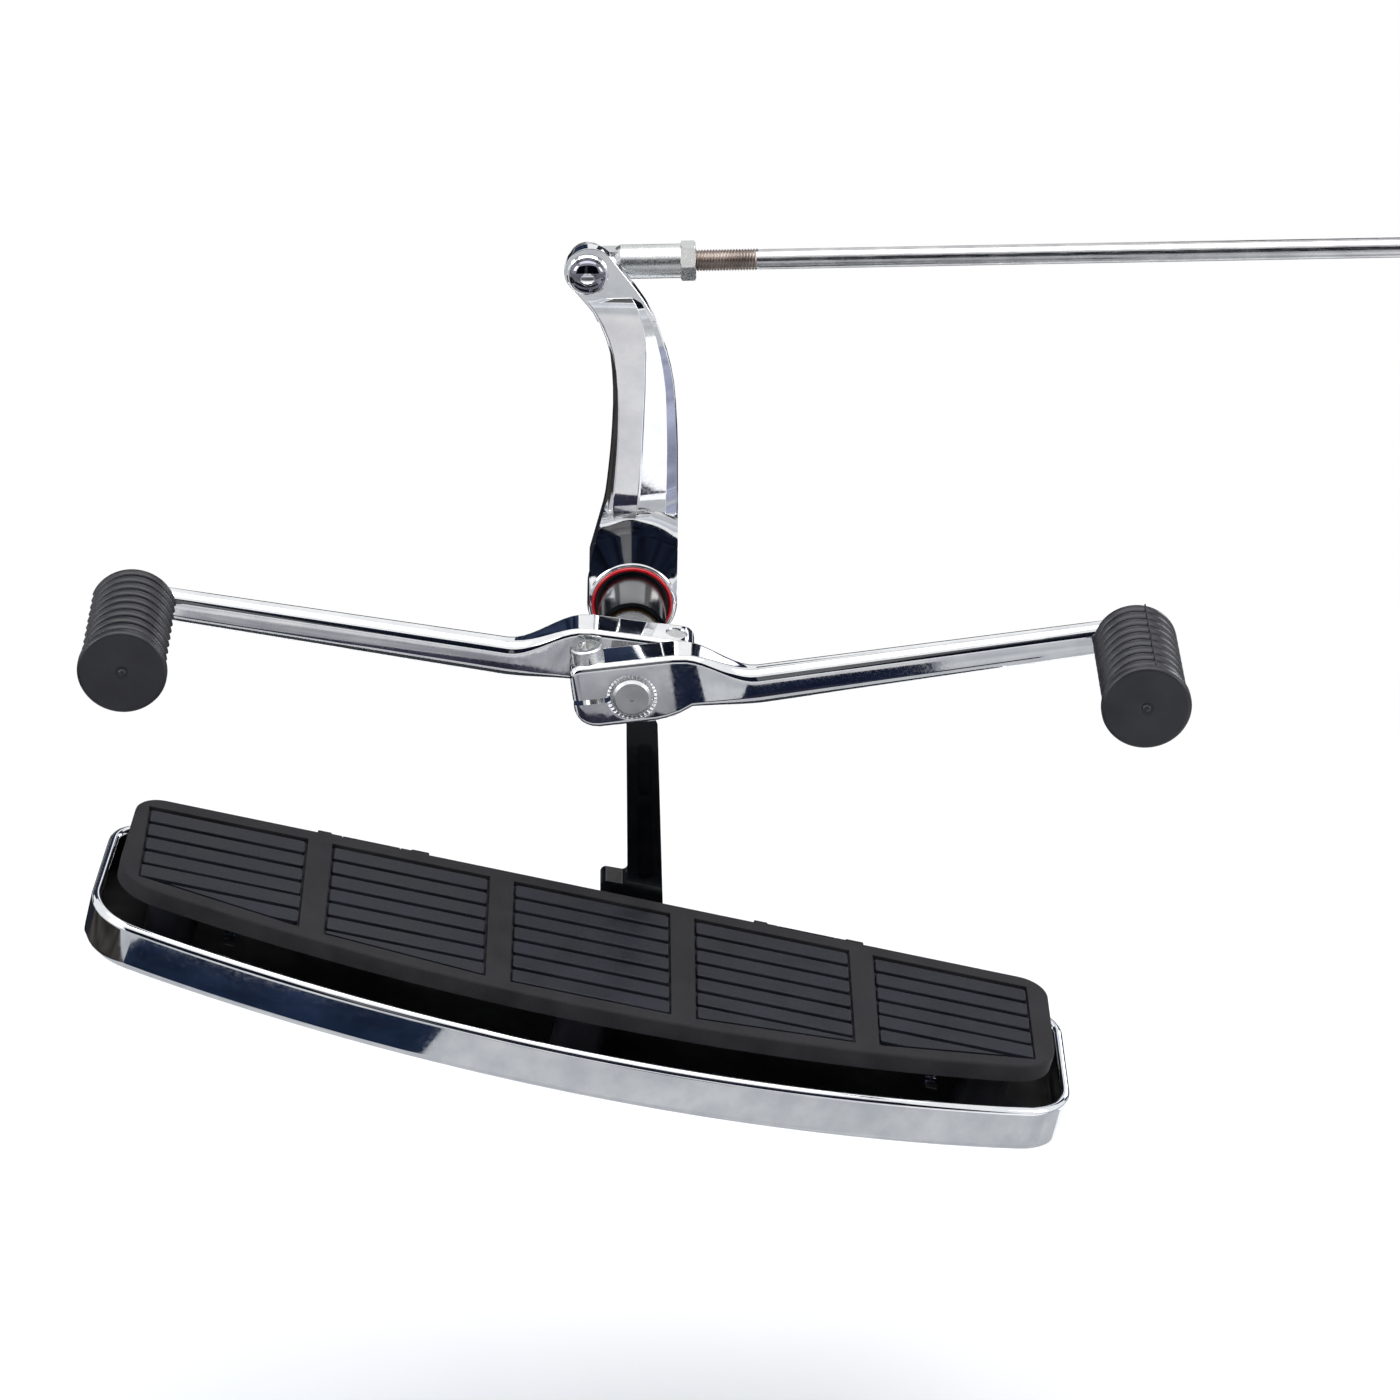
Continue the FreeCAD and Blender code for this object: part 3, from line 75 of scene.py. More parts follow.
# Where each group stands: the shaft's axis at the heel clamp's outboard face, the foot levers and the rod
# along +X from their pivots, and the board from the middle of its pad's inboard top edge
HEEL_RISE, TOE_RISE, ROD_RISE, BOARD_PITCH = 6.8, 8.5, 0.9, 13.6
TOE_FACE = 21.0
PIN_X, BALL_Y, PIN_Z = -15.5, 96.1, 130.0
SHAFT = move(-50.8, -104.0, 178.0)
HEEL = SHAFT @ about_y(-HEEL_RISE)
TOE = SHAFT @ move(0, TOE_FACE, 0) @ about_y(TOE_RISE) @ MIRROR_X
ROD = SHAFT @ move(PIN_X, BALL_Y, PIN_Z) @ about_y(-ROD_RISE)
BOARD = SHAFT @ move(-0.6, 50.0, -109.7) @ about_y(BOARD_PITCH)


# Bench tools: selecting, shaping and finishing a mesh

# Verts closer than this, in millimetres, are one
DOUBLE_GAP = 0.002
AXES = {"X": (1, 0, 0), "Y": (0, 1, 0), "Z": (0, 0, 1)}


def alone(obj):
    """Leaves obj as the only thing selected."""
    bpy.ops.object.select_all(action="DESELECT")
    obj.select_set(True)
    bpy.context.view_layer.objects.active = obj


def edit(obj):
    """Opens obj in edit mode with all of it selected."""
    alone(obj)
    bpy.ops.object.mode_set(mode="EDIT")
    bpy.ops.mesh.select_mode(type="VERT")
    bpy.ops.mesh.select_all(action="SELECT")
    return bmesh.from_edit_mesh(obj.data)


def done():
    bpy.ops.object.mode_set(mode="OBJECT")


def pick(obj, kind, test):
    """Selects in edit mode the verts, edges or faces for which test is true."""
    bpy.ops.mesh.select_mode(type={"verts": "VERT", "edges": "EDGE", "faces": "FACE"}[kind])
    bpy.ops.mesh.select_all(action="DESELECT")
    bm = bmesh.from_edit_mesh(obj.data)
    for part in getattr(bm, kind):
        if test(part):
            part.select_set(True)
    bm.select_flush_mode()
    bmesh.update_edit_mesh(obj.data)


def outward(obj):
    """Merges doubles and turns all faces outwards."""
    edit(obj)
    bpy.ops.mesh.remove_doubles(threshold=DOUBLE_GAP)
    bpy.ops.mesh.normals_make_consistent(inside=False)
    done()
    return obj


def rounded(corners, steps=4):
    """Closed outline through (u, v, radius) corners; a corner with a radius becomes an arc in steps."""
    points = []
    count = len(corners)
    for i, (u, v, radius) in enumerate(corners):
        here = Vector((u, v))
        if radius == 0:
            points.append(here)
            continue
        back = (Vector(corners[i - 1][:2]) - here).normalized()
        ahead = (Vector(corners[(i + 1) % count][:2]) - here).normalized()
        half = back.angle(ahead) / 2
        inward = (back + ahead).normalized()
        centre = here + inward * (radius / math.sin(half))
        first = here + back * (radius / math.tan(half)) - centre
        last = here + ahead * (radius / math.tan(half)) - centre
        turn = first.angle_signed(last)
        for k in range(steps + 1):
            points.append(centre + Matrix.Rotation(-turn * k / steps, 2) @ first)
    return points


def lifted(vert):
    """The selected vert that an extrusion made from this one."""
    return next(e.other_vert(vert) for e in vert.link_edges if e.other_vert(vert).select)


def loft(rings):
    """Skin over rings of points: a filled circle moved into shape, then extruded to each ring after it."""
    bpy.ops.object.select_all(action="DESELECT")
    count = len(rings[0])
    bpy.ops.mesh.primitive_circle_add(vertices=count, fill_type="NGON")
    obj = bpy.context.object
    bm = edit(obj)
    bm.verts.ensure_lookup_table()
    for vert, point in zip(bm.verts, rings[0]):
        vert.co = point
    order = range(count)
    for ring in rings[1:]:
        bpy.ops.mesh.extrude_region_move()
        bm = bmesh.from_edit_mesh(obj.data)
        bm.verts.index_update()
        bm.verts.ensure_lookup_table()
        above = [lifted(bm.verts[i]) for i in order]
        for vert, point in zip(above, ring):
            vert.co = point
        order = [vert.index for vert in above]
        bmesh.update_edit_mesh(obj.data)
    done()
    return outward(obj)


def prism(corners, place, t0, t1, steps=5):
    """Straight body between two rings; place(u, v, t) puts an outline point in space."""
    outline = rounded(corners, steps)
    return loft([[place(p.x, p.y, t) for p in outline] for t in (t0, t1)])


def lathe(profile, x=0.0, y=0.0, z=0.0, axis="Y", steps=72):
    """Turned body: a chain of (radius, distance) points, spun a full turn round the axis through x, y, z."""
    def at(radius, along):
        return {"X": Vector((along, y, z + radius)), "Y": Vector((x + radius, along, z)),
                "Z": Vector((x + radius, y, along))}[axis]
    points = [at(*p) for p in profile]
    bpy.ops.object.select_all(action="DESELECT")
    bpy.ops.mesh.primitive_plane_add(size=1, location=points[0])
    obj = bpy.context.object
    bpy.ops.object.transform_apply(location=True, rotation=False, scale=False)
    edit(obj)
    bpy.ops.mesh.merge(type="CENTER")
    for before, after in zip(points, points[1:]):
        bpy.ops.mesh.extrude_vertices_move(TRANSFORM_OT_translate={"value": after - before})
    bpy.ops.mesh.select_all(action="SELECT")
    bpy.ops.mesh.spin(steps=steps, angle=2 * math.pi, center=at(0, 0), axis=AXES[axis])
    done()
    return outward(obj)


def bar(radius, start, end, sides=48):
    """Cylinder between two points, used to cut holes and to add bosses."""
    start, end = Vector(start), Vector(end)
    bpy.ops.object.select_all(action="DESELECT")
    turn = (end - start).to_track_quat("Z", "Y").to_euler()
    bpy.ops.mesh.primitive_cylinder_add(vertices=sides, radius=radius, depth=(end - start).length,
                                        location=(start + end) / 2, rotation=turn)
    obj = bpy.context.object
    bpy.ops.object.transform_apply(location=True, rotation=True, scale=True)
    return obj


def block(low, high):
    low, high = Vector(low), Vector(high)
    bpy.ops.object.select_all(action="DESELECT")
    bpy.ops.mesh.primitive_cube_add(size=1, location=(low + high) / 2, scale=high - low)
    obj = bpy.context.object
    bpy.ops.object.transform_apply(location=True, rotation=True, scale=True)
    return obj


def modify(obj, kind, **settings):
    alone(obj)
    modifier = obj.modifiers.new(kind.title(), kind)
    for name, value in settings.items():
        setattr(modifier, name, value)
    bpy.ops.object.modifier_apply(modifier=modifier.name)


def combine(obj, tools, how):
    """Boolean of obj with each tool, which is used up."""
    for tool in tools:
        modify(obj, "BOOLEAN", operation=how, solver="EXACT", object=tool)
        bpy.data.objects.remove(tool)
    return obj


def ease(obj, width, segments=2, angle=38.0):
    """Breaks the sharp edges, as tumbling and polishing do."""
    modify(obj, "BEVEL", width=width, segments=segments, limit_method="ANGLE",
           angle_limit=math.radians(angle), use_clamp_overlap=True, harden_normals=False)
    return obj


def smooth(obj, degrees=32.0):
    alone(obj)
    bpy.ops.object.shade_smooth_by_angle(angle=math.radians(degrees))
    return obj


def join(objects):
    bpy.ops.object.select_all(action="DESELECT")
    for obj in objects:
        obj.select_set(True)
    bpy.context.view_layer.objects.active = objects[0]
    if len(objects) > 1:
        bpy.ops.object.join()
    return objects[0]


def seat(obj, place):
    """Moves a piece from its group's frame to its place, and keeps that place in the mesh."""
    alone(obj)
    obj.matrix_world = TO_METRES @ place
    bpy.ops.object.transform_apply(location=True, rotation=True, scale=True)
    if place.determinant() < 0:
        edit(obj)
        bpy.ops.mesh.normals_make_consistent(inside=False)
        done()
    return obj


def dress(obj, materials, number=None):
    """Gives obj its materials; number(face) tells which of them a face takes."""
    for material in materials:
        obj.data.materials.append(material)
    if number:
        for face in obj.data.polygons:
            face.material_index = number(face)
    return obj


def piece(name, obj, body, materials, stands_for):
    """Names a finished piece, dresses it, and hangs it on its body."""
    modify(obj, "WEIGHTED_NORMAL", keep_sharp=True)
    obj.name = name
    obj.data.name = name
    dress(obj, materials)
    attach(obj, body)
    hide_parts(*stands_for)
    return obj


def cast(node, width):
    """A copy of a plain machined or cast node, with its triangles merged and its edges eased."""
    obj = NODES[node].copy()
    obj.data = obj.data.copy()
    obj.parent = None
    for key in list(obj.keys()):
        del obj[key]
    bpy.context.scene.collection.objects.link(obj)
    obj.data.materials.clear()
    edit(obj)
    bpy.ops.mesh.remove_doubles(threshold=DOUBLE_GAP * MM)
    bpy.ops.mesh.dissolve_limited(angle_limit=math.radians(1.0))
    done()
    return smooth(ease(obj, width * MM, 2, 40.0))


# Materials

def linear(code):
    """sRGB hex colour as linear RGBA."""
    def channel(text):
        share = int(text, 16) / 255
        return share / 12.92 if share <= 0.04045 else ((share + 0.055) / 1.055) ** 2.4
    return [channel(code[i:i + 2]) for i in (1, 3, 5)] + [1.0]


def per_mm(size):
    """Texture scale that makes one feature size millimetres across."""
    return 1 / (size * MM)


def add(tree, kind, settings=(), links=()):
    """Adds a node, sets its properties or sockets, and links outputs into it."""
    made = tree.nodes.new(kind)
    for name, value in settings:
        if isinstance(name, str) and hasattr(made, name):
            setattr(made, name, value)
        else:
            made.inputs[name].default_value = value
    for name, output in links:
        tree.links.new(output, made.inputs[name])
    return made


def new_material(name):
    material = bpy.data.materials.new(name)
    material.use_nodes = True
    tree = material.node_tree
    tree.nodes.clear()
    return material, tree


def finish_shader(tree, settings, links=()):
    """Closes a material with its shader and its output."""
    shader = add(tree, "ShaderNodeBsdfPrincipled", settings, links)
    add(tree, "ShaderNodeOutputMaterial", (), [("Surface", shader.outputs["BSDF"])])


def spread(tree, source, low, high, start=0.35, stop=0.65):
    """Maps a noise value between two numbers."""
    return add(tree, "ShaderNodeMapRange", [("From Min", start), ("From Max", stop), ("To Min", low),
                                            ("To Max", high)], [("Value", source)]).outputs["Result"]


def tint(tree, source, stops):
    """Colour ramp through (position, hex) stops."""
    made = add(tree, "ShaderNodeValToRGB", (), [("Fac", source)])
    ramp = made.color_ramp
    while len(ramp.elements) < len(stops):
        ramp.elements.new(0.5)
    for element, (position, code) in zip(ramp.elements, stops):
        element.position = position
        element.color = linear(code)
    return made.outputs["Color"]


def metal(name, colours, roughness, wave_mm, wave_depth, grain_mm, grain_depth, stretch=(1, 1, 1)):
    """Metal with a broad waviness, a fine grain, and cloudy colour and roughness.

    colours are two hex values that the clouds move between; roughness is (low, high)."""
    material, tree = new_material(name)
    where = add(tree, "ShaderNodeTexCoord").outputs["Object"]
    drawn = add(tree, "ShaderNodeMapping", [("Scale", stretch)], [("Vector", where)]).outputs["Vector"]
    cloud = add(tree, "ShaderNodeTexNoise", [("Scale", per_mm(9.0)), ("Detail", 4.0)], [("Vector", where)])
    wave = add(tree, "ShaderNodeTexNoise", [("Scale", per_mm(wave_mm)), ("Detail", 1.0)], [("Vector", where)])
    grain = add(tree, "ShaderNodeTexNoise", [("Scale", per_mm(grain_mm)), ("Detail", 3.0)],
                [("Vector", drawn)])
    colour = tint(tree, cloud.outputs["Fac"], [(0.35, colours[0]), (0.65, colours[1])])
    rough = spread(tree, grain.outputs["Fac"], roughness[0], roughness[1])
    broad = add(tree, "ShaderNodeBump", [("Strength", 1.0), ("Distance", wave_depth * MM)],
                [("Height", wave.outputs["Fac"])])
    fine = add(tree, "ShaderNodeBump", [("Strength", 1.0), ("Distance", grain_depth * MM)],
               [("Height", grain.outputs["Fac"]), ("Normal", broad.outputs["Normal"])])
    finish_shader(tree, [("Metallic", 1.0)],
                  [("Base Color", colour), ("Roughness", rough), ("Normal", fine.outputs["Normal"])])
    return material


def moulded(name, colours, roughness, grain_mm, grain_depth, specular=0.5, coat=0.0, coat_roughness=0.1):
    """Rubber, enamel or plastic: cloudy colour with a moulded or sprayed grain."""
    material, tree = new_material(name)
    where = add(tree, "ShaderNodeTexCoord").outputs["Object"]
    cloud = add(tree, "ShaderNodeTexNoise", [("Scale", per_mm(14.0)), ("Detail", 6.0)], [("Vector", where)])
    grain = add(tree, "ShaderNodeTexNoise", [("Scale", per_mm(grain_mm)), ("Detail", 4.0)],
                [("Vector", where)])
    colour = tint(tree, cloud.outputs["Fac"], [(0.3, colours[0]), (0.7, colours[1])])
    rough = spread(tree, cloud.outputs["Fac"], roughness[0], roughness[1])
    skin = add(tree, "ShaderNodeBump", [("Strength", 1.0), ("Distance", grain_depth * MM)],
               [("Height", grain.outputs["Fac"])])
    finish_shader(tree, [("Specular IOR Level", specular), ("Coat Weight", coat),
                         ("Coat Roughness", coat_roughness)],
                  [("Base Color", colour), ("Roughness", rough), ("Normal", skin.outputs["Normal"])])
    return material


# Hard chrome over polished forgings: mirror bright, with the slow ripple of a buffed surface
CHROME = metal("polished_chrome", ("#E4E6EA", "#F2F3F4"), (0.03, 0.08), 26.0, 0.05, 1.2, 0.0005)
# Chrome over pressed steel: flatter, with a faint haze in patches
PAN_CHROME = metal("chromed_pressing", ("#E0E3E8", "#F0F1F3"), (0.03, 0.07), 45.0, 0.05, 1.5, 0.0003)
# The domed bolt: chrome darkened to a grey mirror as painted shade for the dark surroundings it reflects,
# with bright spots
DARKENED_BOLT_CHROME = metal("bolt_chrome_painted_dark", ("#6E6E78", "#8A8994"), (0.04, 0.10), 5.0, 0.05, 0.8, 0.004)
# Clear zinc on turned steel: pale, a little milky, tool marks round the axis
ZINC = metal("zinc_plated_steel", ("#C9CCCE", "#D9DAD8"), (0.22, 0.38), 12.0, 0.02, 0.5, 0.006)
# Drawn rod, bright zinc with lengthwise draw lines
DRAWN_ROD = metal("drawn_zinc_rod", ("#B9B9BC", "#CFCFD0"), (0.16, 0.30), 20.0, 0.01, 0.6, 0.004,
                  (0.06, 1, 1))
# Rolled thread whose flanks keep a little brown oil
THREAD = metal("rolled_thread", ("#8C7D74", "#B3A79F"), (0.25, 0.42), 12.0, 0.01, 0.5, 0.004)
# Bare turned steel, satin
TURNED = metal("turned_steel", ("#B6B7BA", "#CBCCCE"), (0.34, 0.48), 12.0, 0.01, 0.35, 0.008)
# Oiled bearing bronze
BRONZE = metal("bearing_bronze", ("#4C3A24", "#5E4A30"), (0.25, 0.4), 12.0, 0.01, 0.5, 0.004)
# Gloss black enamel over a casting: deep black, orange-peel skin, sharp highlights
ENAMEL = moulded("gloss_black_enamel", ("#050608", "#0B0C0F"), (0.14, 0.24), 2.2, 0.03, 0.2, 0.1, 0.06)
# Satin black paint on hidden steel; the same black is painted shade on the pan's floor under the pad and on
# the zinc hinge bolts and nuts
SATIN_PAINT_AND_SHADE = moulded("satin_black_paint_and_shade", ("#0A0A0C", "#101012"), (0.45, 0.6), 0.8, 0.02, 0.25)
# Moulded rubber of the pad's ribs: bluish black, faint sheen
RIB_RUBBER = moulded("ribbed_pad_rubber", ("#15161D", "#20212A"), (0.42, 0.58), 0.7, 0.03, 0.26)
# The bands and border between the ribs: flatter and browner, a little scuffed
BAND_RUBBER = moulded("pad_border_rubber", ("#1C1B1E", "#2B2A2C"), (0.62, 0.8), 0.8, 0.06, 0.2)
# Peg rubber: dense black with a soft shine on the rings
PEG_RUBBER = moulded("peg_rubber", ("#1B1B20", "#26262B"), (0.30, 0.42), 0.6, 0.012, 0.42)
# Red silicone wiper ring, smooth and wet looking
RED_SEAL = moulded("red_silicone", ("#A80C1A", "#C4121F"), (0.18, 0.3), 1.0, 0.01, 0.5, 0.3, 0.1)


# Toe and heel levers: forged, with a slotted clamp, a thinning neck and a rounded bar. Each is drawn with the
# shaft along Y through the origin and its peg at REACH along +X.

REACH = 182.5
LEVER_MID = 8.0
EDGE = 2.4
CLAMP_THICK, CLAMP_TAIL, CLAMP_TOP, CLAMP_BOTTOM = 16.0, 21.5, 14.0, 11.2
TOP_ROUND, TAIL_ROUND = 4.0, 8.5
# How far each slice of the clamp stands from its tail
CLAMP_SLICES = (0.12, 0.5, 1.2, 2.3, 4.0, 6.0, 8.5, 14.0, 29.0, 33.0, 38.0)
# The underside rises towards the neck, and the tail's sides are drawn in
TAPER_START, TAPER_SLOPE = 9.5, 0.257
DRAWN_IN, DRAWN_RUN = 1.3, 2.3
# Where the neck and the bar start and end, and their middle's height, height, thickness and corner there
NECK_START, BAR_START, BAR_END = 18.5, 46.0, 178.0
NECK_SHAPE = (3.2, 21.0, 15.6, EDGE)
BAR_SHAPE = (-4.2, 14.0, 10.5, 4.5)
END_SHAPE = (-0.5, 12.0, 8.6, 4.0)
NECK_SLICES = 10
BAR_SLICES = (80.0, 112.0, 145.0, BAR_END)
EYE_R, EYE_HALF = 8.5, 4.8
BORE_R, LEAD_R, LEAD_DEPTH = 8.05, 9.2, 1.2
SLOT_HALF = 0.95
SCREW_X, SPOT_R, SCREW_HOLE_R = -14.5, 6.6, 4.0
# Heights at which the screws' heads seat
HEEL_SEAT, TOE_SEAT = 11.2, -10.4
# How far a tool that cuts reaches past what it cuts
PAST, FAR_PAST = 1.0, 20.0


def mix(a, b, share):
    return a + (b - a) * share


def bar_ring(x, z, height, thick, corner):
    """Rounded rectangle across a foot lever at x, its middle at the height z."""
    low, high = z - height / 2, z + height / 2
    front, back = LEVER_MID - thick / 2, LEVER_MID + thick / 2
    outline = rounded([(front, low, corner), (back, low, corner), (back, high, corner),
                       (front, high, corner)], 5)
    return [Vector((x, p.x, p.y)) for p in outline]


def arc_height(radius, run):
    """Height over its centre of a rounded corner, at the distance run from where it starts."""
    return math.sqrt(radius ** 2 - max(radius - run, 0.0) ** 2)


def clamp_rings():
    """Slices of the clamp, its tail rounded more below than above."""
    rings = []
    for run in CLAMP_SLICES:
        x = run - CLAMP_TAIL
        top = CLAMP_TOP - TOP_ROUND + arc_height(TOP_ROUND, run)
        low = TAIL_ROUND - CLAMP_BOTTOM - arc_height(TAIL_ROUND, run)
        low += max(x - TAPER_START, 0.0) * TAPER_SLOPE
        inward = DRAWN_IN * (1 - min(run, DRAWN_RUN) / DRAWN_RUN) ** 2
        rings.append(bar_ring(x, (top + low) / 2, top - low, CLAMP_THICK - 2 * inward, EDGE))
    return rings


def arm_rings():
    """Slices of the neck, on a smooth step, and of the bar, on a straight line."""
    rings = []
    for i in range(1, NECK_SLICES + 1):
        along = i / NECK_SLICES
        share = along * along * (3 - 2 * along)
        shape = [mix(a, b, share) for a, b in zip(NECK_SHAPE, BAR_SHAPE)]
        rings.append(bar_ring(mix(NECK_START, BAR_START, along), *shape))
    for x in BAR_SLICES:
        share = (x - BAR_START) / (BAR_END - BAR_START)
        rings.append(bar_ring(x, *[mix(a, b, share) for a, b in zip(BAR_SHAPE, END_SHAPE)]))
    return rings


def foot_lever(seat_z, way):
    """One lever; its screw's head seats at the height seat_z and points up (way 1) or down (way -1)."""
    lever = loft(clamp_rings() + arm_rings())
    eye = bar(EYE_R, (REACH, LEVER_MID - EYE_HALF, 0), (REACH, LEVER_MID + EYE_HALF, 0), 56)
    combine(lever, [ease(eye, 0.8)], "UNION")
    end = CLAMP_THICK + PAST
    bore = lathe([(0, -PAST), (LEAD_R, -PAST), (LEAD_R, 0), (BORE_R, LEAD_DEPTH), (BORE_R, end), (0, end)])
    slot = block((-CLAMP_TAIL - 1.5 * PAST, -PAST, -SLOT_HALF), (0, end, SLOT_HALF))
    spot = bar(SPOT_R, (SCREW_X, LEVER_MID, seat_z), (SCREW_X, LEVER_MID, seat_z + way * FAR_PAST))
    through = bar(SCREW_HOLE_R, (SCREW_X, LEVER_MID, -FAR_PAST), (SCREW_X, LEVER_MID, FAR_PAST))
    combine(lever, [bore, spot, through], "DIFFERENCE")
    ease(lever, 0.35, 2, 44.0)
    combine(lever, [slot], "DIFFERENCE")
    return smooth(lever, 36.0)


heel = piece("forged_heel_lever", seat(foot_lever(HEEL_SEAT, 1), HEEL), "shifter",
             [CHROME], ["heel_lever"])
toe = piece("forged_toe_lever", seat(foot_lever(TOE_SEAT, -1), TOE), "shifter",
            [CHROME], ["toe_lever"])
# The inner lever behind them reflects the studio and not these two
heel.visible_glossy = toe.visible_glossy = False


# Pinch screws: socket heads on the spot faces

SHANK_R, HEAD_R, HEAD_H = 3.95, 6.0, 7.6
SOCKET_R, SOCKET_FLOOR, SOCKET_END = 3.65, 3.6, 9.0


def cap_screw(seat_z, way, length):
    """One screw; length is how far its shank reaches past the head's seat."""
    side = [(0, -length), (3.6, -length), (SHANK_R, -length + 0.5), (SHANK_R, 0), (5.6, 0), (HEAD_R, 0.4),
            (HEAD_R, 6.7), (5.8, 7.2), (5.2, HEAD_H), (0, HEAD_H)]
    profile = [(radius, seat_z + way * z) for radius, z in side]
    screw = lathe(profile, x=SCREW_X, y=LEVER_MID, axis="Z", steps=64)
    floor_z, end_z = seat_z + way * SOCKET_FLOOR, seat_z + way * SOCKET_END
    socket = bar(SOCKET_R, (SCREW_X, LEVER_MID, floor_z), (SCREW_X, LEVER_MID, end_z), 6)
    combine(screw, [socket], "DIFFERENCE")
    ease(screw, 0.25, 2, 44.0)
    return smooth(screw, 30.0)


screws = [seat(cap_screw(HEEL_SEAT, 1, 21.5), HEEL), seat(cap_screw(TOE_SEAT, -1, 23.6), TOE)]
piece("pinch_cap_screws", join(screws), "shifter", [ZINC], ["pinch_screws"])


# Rubber pegs: a round core under a cap with a small nib, and rounded rings that stop at a level

PEG_BACK, PEG_CAP, CAP_RADIUS = 0.8, -53.2, 16.0
RINGS, FIRST_RING, RING_PITCH, RING_WIDTH = 9, 5.1, 5.52, 4.5
STUD_R, STUD_DEPTH = 5.6, 42.0
SEAM_R = 0.3


def peg(radius, core, ring_end, seam):
    """One peg; its rings stop at the height ring_end, and a moulding seam may cross them at an angle."""
    cap = PEG_CAP
    stud_end = PEG_BACK - STUD_DEPTH
    body = lathe([(0, cap - 0.78), (0.9, cap - 0.7), (1.5, cap - 0.3), (1.7, cap + 0.3), (2.3, cap + 0.25),
                  (2.9, cap), (14.4, cap), (15.2, cap + 0.2), (15.75, cap + 0.65), (CAP_RADIUS, cap + 1.4),
                  (CAP_RADIUS, cap + 3.2), (15.7, cap + 3.8), (15.0, cap + 4.3), (core, cap + 4.6),
                  (core, PEG_BACK - 0.6), (core - 0.6, PEG_BACK), (STUD_R, PEG_BACK), (STUD_R, stud_end),
                  (0, stud_end)], x=REACH, steps=96)
    rings = []
    for i in range(RINGS):
        at = cap + FIRST_RING + i * RING_PITCH
        far = min(at + RING_WIDTH, PEG_BACK)
        section = [(core - 0.8, at + 0.2), (core + 0.6, at + 0.3), (radius - 0.7, at + 0.6),
                   (radius - 0.2, at + 1.2), (radius, at + 2.1), (radius - 0.03, far - 1.5),
                   (radius - 0.3, far - 0.7), (radius - 0.9, far - 0.2), (core + 0.6, far), (core - 0.8, far),
                   (core - 0.8, at + 0.2)]
        rings.append(lathe(section, x=REACH, steps=96))
    rings = join(rings)
    edit(rings)
    bpy.ops.mesh.bisect(plane_co=(0, 0, ring_end), plane_no=(0, 0, 1), use_fill=True, clear_inner=True)
    done()
    parts = [body, outward(rings)]
    if seam:
        angle = math.radians(seam)
        across, up = REACH + (radius - 0.1) * math.sin(angle), (radius - 0.1) * math.cos(angle)
        parts.append(bar(SEAM_R, (across, cap + 5.3, up), (across, PEG_BACK - 0.4, up), 8))
    return smooth(join(parts), 40.0)


heel_peg = peg(radius=15.1, core=13.5, ring_end=-11.0, seam=19.0)
piece("ringed_heel_peg", seat(heel_peg, HEEL), "shifter", [PEG_RUBBER], ["heel_peg"])
toe_peg = peg(radius=15.7, core=13.9, ring_end=4.0, seam=None)
piece("ringed_toe_peg", seat(toe_peg, TOE), "shifter", [PEG_RUBBER], ["toe_peg"])


# Inner lever: a cupped hub with a turned flare, a ridged arm and a thin eye

HUB_FRONT, HUB_BACK = 77.0, 100.0
# (radius, distance along the shaft) of the hub and of the flare round its front
HUB_PROFILE = ((0, HUB_FRONT), (15.4, HUB_FRONT), (15.9, 77.15), (16.3, 77.5), (16.8, 78.6), (16.8, 96.0),
               (16.2, 98.4), (14.4, 99.7), (11.5, HUB_BACK), (0, HUB_BACK))
FLARE_PROFILE = ((0, HUB_FRONT), (15.4, HUB_FRONT), (15.9, 77.1), (16.3, 77.4), (16.7, 77.9), (25.7, 82.1),
                 (26.3, 82.7), (29.0, 83.5), (31.5, 84.1), (34.0, 84.45), (36.0, 84.5), (36.0, 96.0),
                 (0, 96.0))
# (across, up, corner radius) of the arm's foot and of the neck under the eye, seen from the front
FOOT_OUTLINE = ((-15.9, 0.0, 0), (-15.9, 14.5, 4), (-10.6, 34.0, 6), (-9.5, 43.0, 0), (17.2, 43.0, 0),
                (17.2, 22.0, 4), (16.6, 0.0, 0))
FOOT_START, FOOT_END = 74.0, 97.0
NECK_OUTLINE = ((-6.6, 135.8, 0), (2.0, 124.1, 0), (5.5, 118.7, 0), (8.4, 113.3, 0), (9.3, 111.0, 0),
                (-12.0, 111.0, 0), (-13.6, 114.5, 0), (-17.2, 119.3, 0), (-20.4, 123.4, 0), (-22.6, 126.0, 0))
